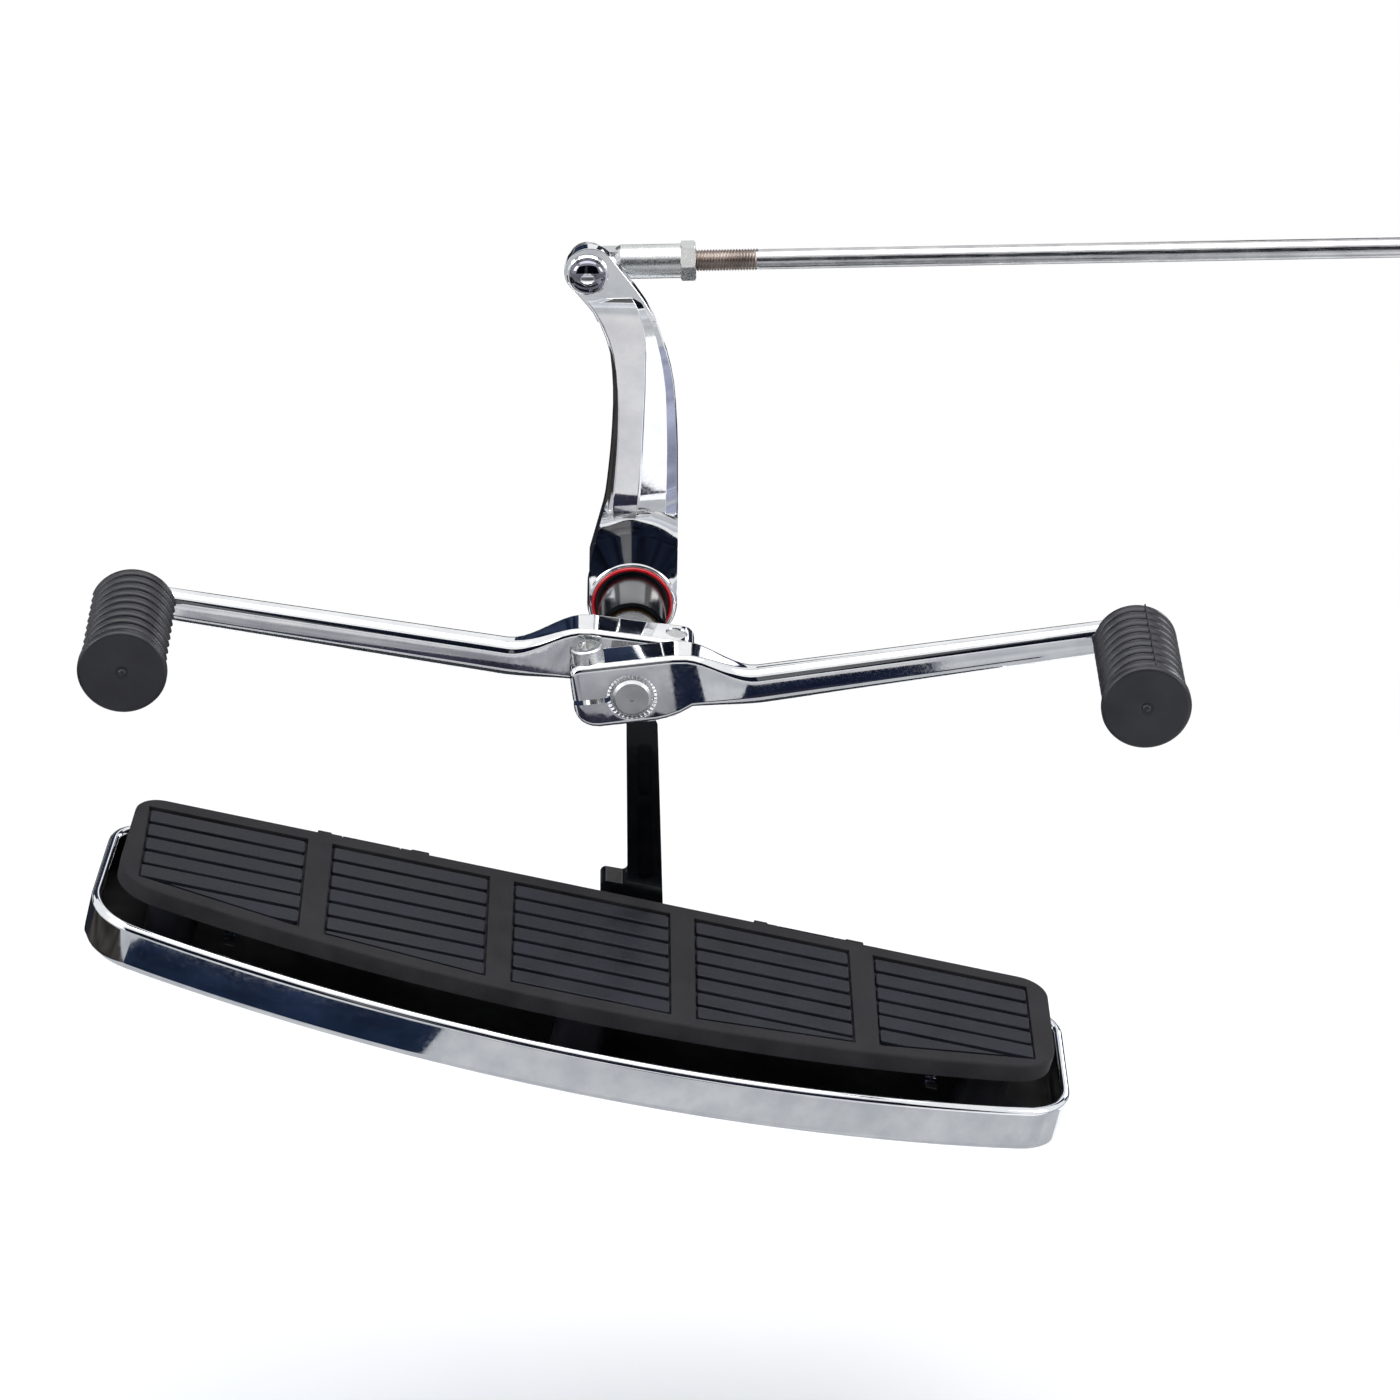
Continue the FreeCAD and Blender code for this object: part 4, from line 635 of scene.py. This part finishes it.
# Slices of the arm from the hub up: height, middle, width, how far the faces stand in from the hub's front
# and back, where the crest is across the width, how proud it stands, and the left and right corners
ARM_CUTS = (
    (-6.0, 0.2, 31.8, 7.4, 1.0, 0.45, 0.05, 4.0, 4.0),
    (14.5, 0.5, 31.8, 7.4, 1.0, 0.45, 0.05, 4.0, 4.0),
    (22.0, 1.5, 30.6, 7.4, 1.4, 0.45, 0.05, 4.0, 4.0),
    (28.0, 2.3, 29.4, 7.4, 2.0, 0.45, 0.05, 4.2, 4.2),
    (31.0, 2.8, 28.8, 7.4, 2.4, 0.45, 0.1, 4.4, 4.4),
    (34.0, 3.2, 28.2, 7.4, 2.8, 0.45, 0.35, 4.5, 4.6),
    (37.0, 3.5, 27.6, 7.4, 3.1, 0.45, 1.0, 4.5, 5.0),
    (40.0, 3.8, 27.1, 7.4, 3.4, 0.45, 1.7, 4.5, 5.2),
    (43.0, 4.0, 26.7, 7.4, 3.7, 0.45, 2.1, 4.5, 5.2),
    (50.0, 4.4, 25.9, 7.4, 4.3, 0.455, 2.06, 4.4, 5.2),
    (58.0, 4.8, 25.1, 7.4, 4.8, 0.455, 2.0, 4.2, 5.2),
    (66.0, 5.0, 24.3, 7.4, 5.4, 0.46, 1.92, 3.9, 5.0),
    (76.0, 5.0, 23.3, 7.4, 6.2, 0.48, 1.77, 3.4, 4.8),
    (84.0, 4.7, 22.6, 7.4, 7.0, 0.51, 1.62, 2.9, 4.4),
    (91.0, 4.0, 21.8, 7.3, 7.8, 0.55, 1.45, 2.4, 4.0),
    (98.0, 2.9, 20.8, 7.1, 8.6, 0.62, 1.18, 2.0, 3.6),
    (104.0, 1.2, 20.4, 7.0, 9.2, 0.70, 0.89, 1.8, 3.2),
    (110.0, -0.8, 20.6, 6.9, 10.0, 0.76, 0.72, 1.6, 2.8),
    (115.0, -3.1, 20.8, 6.9, 10.2, 0.80, 0.61, 1.4, 2.4),
    (118.5, -5.2, 21.2, 7.1, 10.4, 0.83, 0.53, 1.2, 2.0),
    (120.5, -6.6, 21.2, 7.6, 10.5, 0.84, 0.3, 1.0, 1.4),
    (121.2, -7.2, 20.6, 8.2, 10.6, 0.84, 0.06, 0.8, 1.0),
)
# The arm's front, in shares of how proud the crest stands: the left edge and the shoulder lie behind it,
# and a step runs down beside it
LEFT_FALL, SHOULDER_FALL, STEP_FALL, STEP_RUN, CREST_ROUND, STEP_ROUND = 0.5, 0.955, 0.55, 0.3, 0.28, 0.2
SHOULDER_ROUND = 0.8
# The right chamfer, in shares of the right facet's width and of its own
CHAMFER_SHARE, CHAMFER_SLOPE = 0.3, 0.84
# No corner takes more than this share of the wall beside it
CORNER_LIMIT = 0.42
LEVER_EYE_R, LEVER_EYE_X, LEVER_EYE_Z = 9.4, -14.6, 130.8
EYE_FRONT, EYE_BACK = 84.6, 89.4
CUP_R, CUP_START, CUP_FLOOR = 15.3, 70.0, 81.0
SHAFT_R, SHAFT_END = 7.8, 96.0
PIN_HOLE_R, PIN_HOLE_START, PIN_HOLE_END = 2.7, 80.0, 95.0


def upright(u, v, t):
    return Vector((u, t, v))


def arm_ring(z, middle, width, front, back, ridge, proud, left_corner, right_corner):
    """Slice of the arm: raised left facet, a small step at its crest, right facet and a broad chamfer."""
    left, right = middle - width / 2, middle + width / 2
    crest = left + width * ridge
    chamfer = CHAMFER_SHARE * (right - crest)
    y_front, y_back = HUB_FRONT + front, HUB_BACK - back
    y_left = y_front + LEFT_FALL * proud
    y_shoulder = y_front + SHOULDER_FALL * proud
    y_right = y_shoulder + CHAMFER_SLOPE * chamfer
    left_corner = min(left_corner, CORNER_LIMIT * (y_back - y_left))
    right_corner = min(right_corner, CORNER_LIMIT * (y_back - y_right), 0.5 * chamfer)
    outline = rounded([(left, y_left, left_corner), (crest, y_front - proud, CREST_ROUND * proud),
                       (crest + STEP_RUN * proud, y_front - STEP_FALL * proud, STEP_ROUND * proud),
                       (right - chamfer, y_shoulder, SHOULDER_ROUND), (right, y_right, right_corner),
                       (right, y_back, right_corner), (left, y_back, left_corner)], 6)
    return [Vector((p.x, p.y, z)) for p in outline]


def collar():
    """The flare round the hub's front, turned, then cut to the width of the arm's foot."""
    return combine(lathe(FLARE_PROFILE, steps=120), [prism(FOOT_OUTLINE, upright, FOOT_START, FOOT_END)],
                   "INTERSECT")


def inner_lever():
    arm = loft([arm_ring(*cut) for cut in ARM_CUTS])
    hub = lathe(HUB_PROFILE, steps=96)
    eye = bar(LEVER_EYE_R, (LEVER_EYE_X, EYE_FRONT, LEVER_EYE_Z), (LEVER_EYE_X, EYE_BACK, LEVER_EYE_Z), 72)
    neck = prism(NECK_OUTLINE, upright, EYE_FRONT, EYE_BACK)
    ease(eye, 0.5)
    ease(neck, 0.5, 3, 50.0)
    combine(hub, [collar(), arm, neck, eye], "UNION")
    cup = bar(CUP_R, (0, CUP_START, 0), (0, CUP_FLOOR, 0), 96)
    shaft = bar(SHAFT_R, (0, HUB_FRONT, 0), (0, SHAFT_END, 0), 64)
    pin = bar(PIN_HOLE_R, (PIN_X, PIN_HOLE_START, PIN_Z), (PIN_X, PIN_HOLE_END, PIN_Z), 32)
    combine(hub, [cup, shaft, pin], "DIFFERENCE")
    ease(hub, 0.3, 2, 46.0)
    return smooth(hub, 34.0)


piece("ridged_inner_lever", seat(inner_lever(), SHAFT), "shifter", [CHROME], ["inner_lever"])


# Pin through the eye: a domed head with a hexagon socket, on a washer

PIN_R, PIN_END = 2.6, 103.9
PIN_HEAD_BASE, PIN_HEAD_R, PIN_HEAD_H, PIN_RIM = 83.3, 6.7, 3.9, 0.9
PIN_SOCKET_R, PIN_SOCKET_START, PIN_SOCKET_FLOOR = 2.6, 76.0, 80.7
# Faces of the bolt nearer its axis and its head's top than these lie in the socket
IN_SOCKET_R, IN_SOCKET_Y = 2.5, 82.0
PIN_EDGE = 0.25
DOME_STEPS = 8
WASHER_PROFILE = ((PIN_HOLE_R, PIN_HEAD_BASE), (7.2, PIN_HEAD_BASE), (7.6, 83.7), (7.6, 84.3),
                  (7.3, EYE_FRONT), (PIN_HOLE_R, EYE_FRONT), (PIN_HOLE_R, PIN_HEAD_BASE))


def socket_highlight(face):
    """1 for the walls and floor of the pin's socket, which take bright chrome as a painted highlight, 0 for
    the rest of the bolt.
    """
    sunk = math.hypot(face.center.x - PIN_X, face.center.z - PIN_Z) < IN_SOCKET_R
    return 1 if sunk and face.center.y < IN_SOCKET_Y else 0


def pin_bolt():
    base = PIN_HEAD_BASE
    profile = [(0, base - PIN_HEAD_H)]
    for step in range(1, DOME_STEPS + 1):
        angle = math.radians(90 / DOME_STEPS * step)
        dome = (PIN_HEAD_H - PIN_RIM) * math.cos(angle)
        profile.append((PIN_HEAD_R * math.sin(angle), base - PIN_RIM - dome))
    profile += [(PIN_HEAD_R, base - PIN_EDGE), (PIN_HEAD_R - PIN_EDGE, base), (PIN_R, base), (PIN_R, PIN_END),
                (0, PIN_END)]
    bolt = lathe(profile, x=PIN_X, z=PIN_Z, steps=72)
    socket = bar(PIN_SOCKET_R, (PIN_X, PIN_SOCKET_START, PIN_Z), (PIN_X, PIN_SOCKET_FLOOR, PIN_Z), 6)
    combine(bolt, [socket], "DIFFERENCE")
    ease(bolt, 0.2, 2, 40.0)
    # The head takes the darkened chrome as painted shade, and the socket takes bright chrome as a painted
    # highlight
    return smooth(dress(bolt, [DARKENED_BOLT_CHROME, CHROME], socket_highlight), 30.0)


piece("domed_pin_bolt", seat(pin_bolt(), SHAFT), "shifter", [], ["pin_bolt"])
washer = smooth(lathe(WASHER_PROFILE, x=PIN_X, z=PIN_Z))
piece("eye_washer", seat(washer, SHAFT), "shifter", [CHROME], ["pin_washer"])


# Wiper ring on the boss: a red bead on a black backing

BEAD_CENTRE, BEAD_HALF = (14.45, 76.9), (0.75, 0.7)
BACKING_PROFILE = ((12.75, 77.3), (15.2, 77.3), (15.2, 78.7), (12.75, 78.7), (12.75, 77.3))


def wiper_ring():
    angles = [math.radians(a) for a in range(0, 361, 30)]
    bead = [(BEAD_CENTRE[0] + BEAD_HALF[0] * math.cos(a), BEAD_CENTRE[1] + BEAD_HALF[1] * math.sin(a))
            for a in angles]
    both = [RED_SEAL, PEG_RUBBER]
    red = dress(smooth(lathe(bead, steps=96), 60), both, lambda face: 0)
    backing = dress(smooth(lathe(BACKING_PROFILE, steps=96)), both, lambda face: 1)
    return join([red, backing])


piece("wiper_ring", seat(wiper_ring(), SHAFT), "shifter", [], ["seal_ring"])


# Linkage rod with rolled threads at both ends

THREAD_PITCH = 1.06
THREAD_CREST, THREAD_ROOT, THREAD_BASE = 3.97, 3.42, 3.0
THREAD_RUNS = ((34.0, 62.0), (299.0, 316.0))
ROD_PROFILE = ((0, 15.0), (3.4, 15.0), (3.45, 62.2), (3.7, 62.9), (3.7, 298.1), (3.45, 298.8), (3.4, 335.0),
               (0, 335.0))


def thread(start, end):
    """Rolled thread: a small closed tooth swept along a helix by a screw modifier."""
    bpy.ops.object.select_all(action="DESELECT")
    bpy.ops.mesh.primitive_circle_add(vertices=5, fill_type="NOTHING")
    obj = bpy.context.object
    bm = edit(obj)
    bm.verts.ensure_lookup_table()
    tooth = [(THREAD_BASE, 0.0), (THREAD_ROOT, 0.06), (THREAD_CREST, THREAD_PITCH * 0.46),
             (THREAD_CREST, THREAD_PITCH * 0.6), (THREAD_ROOT, THREAD_PITCH)]
    for vert, (radius, along) in zip(bm.verts, tooth):
        vert.co = Vector((start + along, 0, radius))
    bmesh.update_edit_mesh(obj.data)
    done()
    turns = int((end - start) / THREAD_PITCH)
    modify(obj, "SCREW", axis="X", steps=32, render_steps=32, iterations=turns, screw_offset=THREAD_PITCH,
           use_merge_vertices=True)
    edit(obj)
    bpy.ops.mesh.fill_holes(sides=0)
    done()
    return smooth(outward(obj), 50.0)


def linkage_rod():
    core = dress(smooth(lathe(ROD_PROFILE, axis="X", steps=56)), [DRAWN_ROD])
    threads = [dress(thread(*run), [DRAWN_ROD, THREAD], lambda face: 1) for run in THREAD_RUNS]
    return join([core] + threads)


piece("threaded_linkage_rod", seat(linkage_rod(), ROD), "rod", [], ["shift_rod"])


# Floorboard: plan shapes with a straight inboard edge, a bowed outboard one and four rounded corners

Plan = namedtuple("Plan", "front rear rake inboard apex bow r_in r_out")
PAN = Plan(front=-201.4, rear=171.8, rake=5.0, inboard=1.5, apex=103.5, bow=598.0, r_in=16.0, r_out=24.0)
PAD = Plan(front=-193.4, rear=162.6, rake=4.0, inboard=0.0, apex=89.6, bow=650.0, r_in=11.0, r_out=20.0)
PAD_MIDDLE = (PAD.front + PAD.rear) / 2
BOW_PARTS, BOW_GAP, CORNER_PARTS = 30, 4.0, 10
ISOLATOR_SPREAD, ISOLATOR_INSET, STUD_HOLE_R = 154.0, 16.0, 3.2


def bowed_edge(plan, x, inset=0.0):
    """Place of the bowed edge at x, moved in by inset."""
    middle = (plan.front + plan.rear) / 2
    return -(plan.apex - plan.bow + math.sqrt((plan.bow - inset) ** 2 - (x - middle) ** 2))


def plan_outline(plan, inset=0.0):
    """A plan shape moved in by inset."""
    left, right = plan.front + inset, plan.rear - inset
    inboard, r_in, r_out = plan.inboard - inset, plan.r_in - inset, plan.r_out - inset
    corners = [(left + plan.rake, inboard, r_in), (right, inboard, r_in),
               (right, bowed_edge(plan, right, inset), r_out)]
    start, stop = plan.rear - plan.r_out - BOW_GAP, plan.front + plan.r_out + BOW_GAP
    for i in range(BOW_PARTS + 1):
        x = mix(start, stop, i / BOW_PARTS)
        corners.append((x, bowed_edge(plan, x, inset), 0))
    corners.append((left, bowed_edge(plan, left, inset), r_out))
    return rounded(corners, CORNER_PARTS)


def at_level(z):
    return lambda e: all(abs(v.co.z - z) < 0.01 for v in e.verts)


# Chromed pan with a rolled lip: (inset, height) of its wall, from the underside over the lip to the floor
PAN_FLOOR, PAN_UNDER = -27.0, -30.0
PAN_SECTION = ((2.6, PAN_UNDER), (1.4, -29.8), (0.5, -29.2), (0.1, -28.3), (0.0, -27.0), (0.0, -14.6),
               (0.15, -13.7), (0.65, -12.8), (1.4, -12.2), (2.2, -12.0), (3.0, -12.2), (3.7, -12.8),
               (4.15, -13.7), (4.2, -14.6), (3.8, -15.3), (2.9, -15.7), (2.4, -16.2), (2.4, -25.0),
               (2.9, -26.4), (4.4, PAN_FLOOR))


def stud_places():
    """Three along the bowed edge and two at the ends of the straight one."""
    spots = []
    for dx in (-ISOLATOR_SPREAD, 0.0, ISOLATOR_SPREAD):
        spots.append((PAD_MIDDLE + dx, bowed_edge(PAD, PAD_MIDDLE + dx) + ISOLATOR_INSET))
    return spots + [(PAD_MIDDLE + dx, -ISOLATOR_INSET) for dx in (-ISOLATOR_SPREAD, ISOLATOR_SPREAD)]


def on_floor(face):
    """1 for the floor inside the pan, given satin black as painted shade under the pad, 0 for its chrome."""
    return 1 if face.normal.z > 0.9 and face.center.z < PAN_FLOOR + 0.5 else 0


def pan():
    body = loft([[Vector((p.x, p.y, z)) for p in plan_outline(PAN, inset)] for inset, z in PAN_SECTION])
    holes = [bar(STUD_HOLE_R, (x, y, PAN_UNDER - 1), (x, y, PAN_FLOOR + 1), 24) for x, y in stud_places()]
    combine(body, holes, "DIFFERENCE")
    # The pan's floor takes satin black as painted shade under the pad
    return smooth(dress(body, [PAN_CHROME, SATIN_PAINT_AND_SHADE], on_floor), 34.0)


piece("rolled_edge_pan", seat(pan(), BOARD), "board", [], ["floorboard_pan"])


# Rubber pad: five recessed panels of rounded ribs

PAD_THICK = 7.0
PANELS, PANEL, BAND = 5, 60.6, 9.1
FIRST_GROOVE, PITCH, GROOVE, GROOVE_DEPTH = 7.4, 10.6, 2.2, 1.8
MOST_ROWS, LEAST_RIB = 8, 3.0
BORDER = 7.0
RIB_END_GAP, RIB_FOOT, RIB_TOP = 0.8, -2.4, -0.05
# A panel's pocket reaches past the pad before it is trimmed to the bow
POCKET_REACH = 120.0


def rib_rows():
    """(panel start, outer y, inner y) of every rib that the bow leaves room for."""
    first = PAD_MIDDLE - (PANELS * PANEL + (PANELS - 1) * BAND) / 2
    rows = []
    for panel in range(PANELS):
        x0 = first + panel * (PANEL + BAND)
        deepest = min(bowed_edge(PAD, x0), bowed_edge(PAD, x0 + PANEL))
        for row in range(MOST_ROWS):
            inner = FIRST_GROOVE + GROOVE + row * PITCH
            if -inner - LEAST_RIB > deepest + BORDER:
                rows.append((x0, -inner - PITCH + GROOVE, -inner))
    return rows


def trim(obj, x0, inset):
    """Cuts a bar of one panel along the chord of the bow, inset from the pad's edge."""
    start, end = (Vector((x, bowed_edge(PAD, x) + inset, 0)) for x in (x0, x0 + PANEL))
    along = (end - start).normalized()
    edit(obj)
    bpy.ops.mesh.bisect(plane_co=start, plane_no=(-along.y, along.x, 0), use_fill=True, clear_inner=True)
    done()
    return obj


def round_edges(obj, test, width, clamp=True):
    """Rounds the edges for which test is true; obj is in edit mode."""
    pick(obj, "edges", test)
    bpy.ops.mesh.bevel(offset=width, segments=3, affect="EDGES", clamp_overlap=clamp)


def pad_body():
    body = loft([[Vector((p.x, p.y, z)) for p in plan_outline(PAD)] for z in (-PAD_THICK, 0.0)])
    edit(body)
    round_edges(body, at_level(0.0), 1.1, clamp=False)
    done()
    for x0 in sorted({row[0] for row in rib_rows()}):
        pocket = block((x0, -POCKET_REACH, -GROOVE_DEPTH), (x0 + PANEL, -FIRST_GROOVE, 1.0))
        combine(body, [trim(pocket, x0, BORDER - GROOVE * 0.6)], "DIFFERENCE")
    return smooth(body)


def rib(x0, outer, inner):
    """One rib: a bar with rounded ends and rounded top edges, standing in its panel."""
    made = block((x0 + RIB_END_GAP, outer, RIB_FOOT), (x0 + PANEL - RIB_END_GAP, inner, RIB_TOP))
    trim(made, x0, BORDER)
    edit(made)
    round_edges(made, lambda e: abs(e.verts[0].co.z - e.verts[1].co.z) > 1.0, 1.2)
    round_edges(made, at_level(RIB_TOP), 0.6)
    done()
    return smooth(made, 50.0)


rubbers = [BAND_RUBBER, RIB_RUBBER]
pad = dress(pad_body(), rubbers)
ribs = [rib(*row) for row in rib_rows()]
for made in ribs:
    dress(made, rubbers, lambda face: 1)
piece("ribbed_rubber_pad", seat(join([pad] + ribs), BOARD), "board", [], ["rubber_pad"])


# Castings, machined pieces and fasteners whose forms are right already: their edges are eased

for node, width, slot, material in (
        ("extension_bracket", 0.9, "black_paint", ENAMEL),
        ("support_rail", 0.8, "black_paint", ENAMEL),
        ("front_pan_hinge", 0.5, "black_paint", SATIN_PAINT_AND_SHADE),
        ("rear_pan_hinge", 0.5, "black_paint", SATIN_PAINT_AND_SHADE),
        ("front_jam_nut", 0.25, "zinc", ZINC),
        ("rear_jam_nut", 0.25, "zinc", ZINC),
        ("rail_screws", 0.4, "zinc", ZINC),
        # The hinge bolts and nuts are zinc; satin black on them is painted shade where they show past the
        # pad's inboard edge
        ("hinge_bolts", 0.4, "zinc", SATIN_PAINT_AND_SHADE),
        ("hinge_nuts", 0.4, "zinc", SATIN_PAINT_AND_SHADE),
        ("isolator_nuts", 0.3, "zinc", ZINC)):
    body = NODES[node]["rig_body"]
    piece("eased_" + node, cast(node, width), body, [material], [node])

KEPT = {
    "front_bush": BRONZE, "rear_bush": BRONZE, "stop_buttons": PEG_RUBBER, "shift_shaft": TURNED,
    "thrust_washer": ZINC, "retaining_ring": TURNED, "hub_screw": TURNED, "pin_nut": ZINC, "peg_studs": ZINC,
    "front_rod_ball": TURNED, "rear_rod_ball": TURNED, "front_rod_end": ZINC, "rear_rod_end": ZINC,
    "pad_plate": SATIN_PAINT_AND_SHADE, "pad_isolators": PEG_RUBBER, "isolator_studs": ZINC, "pad_clips": CHROME,
    "hinge_screws": ZINC,
}
for node, material in KEPT.items():
    NODES[node].data.materials.clear()
    NODES[node].data.materials.append(material)
    smooth(NODES[node], 30.0)


# Studio: a pale floor, a white surround, soft lamps and dark flags for the chrome to reflect

def card(name, centre, turn, size, low, high, grain=(1, 1, 1), strength=1.0):
    """Flag seen only in reflections, its colour clouded between low and high."""
    bpy.ops.object.select_all(action="DESELECT")
    bpy.ops.mesh.primitive_plane_add(size=1, location=centre, rotation=[math.radians(a) for a in turn])
    obj = bpy.context.object
    obj.scale = (size[0], size[1], 1)
    bpy.ops.object.transform_apply(location=True, rotation=True, scale=True)
    obj.name = name
    material, tree = new_material(name + "_cloth")
    where = add(tree, "ShaderNodeTexCoord").outputs["Object"]
    drawn = add(tree, "ShaderNodeMapping", [("Scale", grain)], [("Vector", where)]).outputs["Vector"]
    cloud = add(tree, "ShaderNodeTexNoise", [("Scale", 1.0), ("Detail", 3.0)], [("Vector", drawn)])
    colour = tint(tree, cloud.outputs["Fac"], [(0.35, low), (0.65, high)])
    glow = add(tree, "ShaderNodeEmission", [("Strength", strength)], [("Color", colour)])
    add(tree, "ShaderNodeOutputMaterial", (), [("Surface", glow.outputs["Emission"])])
    obj.data.materials.append(material)
    for ray in ("camera", "diffuse", "shadow", "transmission", "volume_scatter"):
        setattr(obj, "visible_" + ray, False)


FLOOR_SIZE, FLOOR_Z = 14, -0.16
# The floor is matt up to the first distance from the part, and plain white from the second
FADE_START, FADE_END = 0.3, 0.75
bpy.ops.object.select_all(action="DESELECT")
bpy.ops.mesh.primitive_plane_add(size=FLOOR_SIZE, location=(0, 2.5, FLOOR_Z))
floor = bpy.context.object
floor.name = "floor"
bpy.ops.object.transform_apply(location=True, rotation=False, scale=False)
material, tree = new_material("pale_floor")
# Matt white near the part, where its shadow falls, and plain white to the camera farther away
where = add(tree, "ShaderNodeTexCoord").outputs["Object"]
near = add(tree, "ShaderNodeMapping", [("Location", (0, 0.1, -FLOOR_Z))], [("Vector", where)])
away = add(tree, "ShaderNodeVectorMath", [("operation", "LENGTH")], [(0, near.outputs["Vector"])])
share = spread(tree, away.outputs["Value"], 0.0, 1.0, FADE_START, FADE_END)
rays = add(tree, "ShaderNodeLightPath")
share = add(tree, "ShaderNodeMath", [("operation", "MULTIPLY")],
            [(0, share), (1, rays.outputs["Is Camera Ray"])])
matt = add(tree, "ShaderNodeBsdfDiffuse", [("Color", linear("#F6F6F6"))])
plain = add(tree, "ShaderNodeEmission", [("Color", linear("#FFFFFF"))])
both = add(tree, "ShaderNodeMixShader", (),
           [(0, share.outputs[0]), (1, matt.outputs[0]), (2, plain.outputs[0])])
add(tree, "ShaderNodeOutputMaterial", (), [("Surface", both.outputs[0])])
floor.data.materials.append(material)

# Each card: where it stands and how it is turned, its size, its two colours and how fine its clouds are
UP, FACING = (0, 0, 0), (90, 0, 0)
card("front_flag", (0.0, -2.60, 1.30), FACING, (5.0, 2.30), "#080B14", "#1A2030", (3, 2, 2))
card("front_strip", (-0.28, -2.55, 1.30), FACING, (0.42, 2.20), "#5A5A5A", "#77777A", (1, 1, 4))
card("back_left_flag", (-0.86, 1.60, 0.98), FACING, (1.34, 1.10), "#10182A", "#333D54", (14, 1, 3))
card("back_right_flag", (1.20, 1.60, 0.85), FACING, (1.80, 1.00), "#12141D", "#4A4D58", (22, 1, 3))
card("back_low_flag", (0.0, 1.64, 0.16), FACING, (5.0, 0.50), "#1C1E26", "#30323C", (3, 3, 3))
card("floor_tone", (0.0, -0.80, -0.104), UP, (4.0, 1.50), "#B9BBBF", "#CDCFD1", (5, 9, 1))
card("left_floor_flag", (-0.92, 0.15, -0.102), UP, (0.76, 1.25), "#2A2826", "#4A4744", (8, 3, 1))
card("right_floor_flag", (0.95, -0.10, -0.102), UP, (0.70, 0.80), "#84889F", "#BCC1D8", (14, 5, 1))
card("plate_light", (-0.07, -0.85, -0.100), UP, (0.34, 0.18), "#D6D4D6", "#E6E4E6", (6, 6, 1))
card("facet_light", (-0.38, -0.68, -0.100), UP, (0.32, 0.30), "#D4D3D6", "#EAE9EA", (6, 6, 1))
card("facet_white", (0.62, -0.60, -0.100), UP, (0.70, 0.60), "#F4F4F8", "#FFFFFF", (3, 3, 1), 1.3)
card("board_flag", (-0.37, -0.475, -0.099), (0, 0, 8), (0.36, 0.13), "#0E1828", "#22304A", (9, 20, 1))
card("clamp_flag", (-0.14, -0.66, -0.099), UP, (0.28, 0.16), "#8C8C92", "#B4B4B8", (18, 12, 1))
card("neck_flag", (0.045, -0.66, -0.098), UP, (0.110, 0.20), "#10162A", "#1C2438", (30, 6, 1))
card("rear_floor_flag", (0.0, 0.62, -0.101), UP, (1.50, 0.80), "#14161C", "#2A2C33", (6, 4, 1))
card("ring_light", (0.55, 1.30, 0.72), FACING, (0.30, 0.25), "#C8C8E0", "#FFFFFF", (4, 1, 4), 2.0)
card("streak_light", (1.05, 1.25, 0.42), FACING, (0.50, 0.42), "#E8ECFF", "#FFFFFF", (4, 1, 4), 6.0)
card("bar_flag", (-0.1425, -0.23, 0.090), UP, (0.515, 0.055), "#20212C", "#3A3A4A", (20, 10, 1))

world = bpy.data.worlds.new("surround")
bpy.context.scene.world = world
world.use_nodes = True
tree = world.node_tree
tree.nodes.clear()
rays = add(tree, "ShaderNodeLightPath")
seen = add(tree, "ShaderNodeMath", [("operation", "MAXIMUM")],
           [(0, rays.outputs["Is Camera Ray"]), (1, rays.outputs["Is Glossy Ray"])])
seen = add(tree, "ShaderNodeMath", [("operation", "MAXIMUM")],
           [(0, seen.outputs[0]), (1, rays.outputs["Is Transmission Ray"])])
fill = add(tree, "ShaderNodeBackground", [("Color", linear("#E6EAF0")), ("Strength", 0.75)])
white = add(tree, "ShaderNodeBackground", [("Color", linear("#FFFFFF")), ("Strength", 1.0)])
both = add(tree, "ShaderNodeMixShader", (),
           [(0, seen.outputs[0]), (1, fill.outputs[0]), (2, white.outputs[0])])
add(tree, "ShaderNodeOutputWorld", (), [("Surface", both.outputs[0])])


def lamp(name, place, target, size, energy, code="#FFFFFF"):
    data = bpy.data.lights.new(name, "AREA")
    data.shape = "RECTANGLE"
    data.size, data.size_y = size
    data.energy = energy
    data.color = linear(code)[:3]
    obj = bpy.data.objects.new(name, data)
    obj.location = place
    obj.rotation_euler = (Vector(target) - Vector(place)).to_track_quat("-Z", "Y").to_euler()
    bpy.context.scene.collection.objects.link(obj)


MIDDLE = (0.0, -0.05, 0.12)
lamp("overhead_softbox", (0.0, -0.1, 1.7), MIDDLE, (2.2, 1.2), 22.0)
lamp("left_softbox", (-1.7, -0.9, 1.1), MIDDLE, (0.9, 0.9), 14.0, "#F4F7FF")
lamp("right_softbox", (1.8, -0.6, 0.9), MIDDLE, (0.8, 0.8), 10.0, "#FFFBF4")

# The photo's view: a long lens from a little left of the part, well above it
camera = bpy.data.cameras.new("camera")
camera.lens = 144.0
camera.sensor_width = 36.0
camera.clip_end = 50.0
eye = bpy.data.objects.new("camera", camera)
eye.location = (-0.04511, -1.90886, 1.09653)
eye.rotation_euler = (math.radians(63.0), 0.0, math.radians(-0.6))
bpy.context.scene.collection.objects.link(eye)
bpy.context.scene.camera = eye
bpy.context.scene.view_settings.view_transform = "Standard"
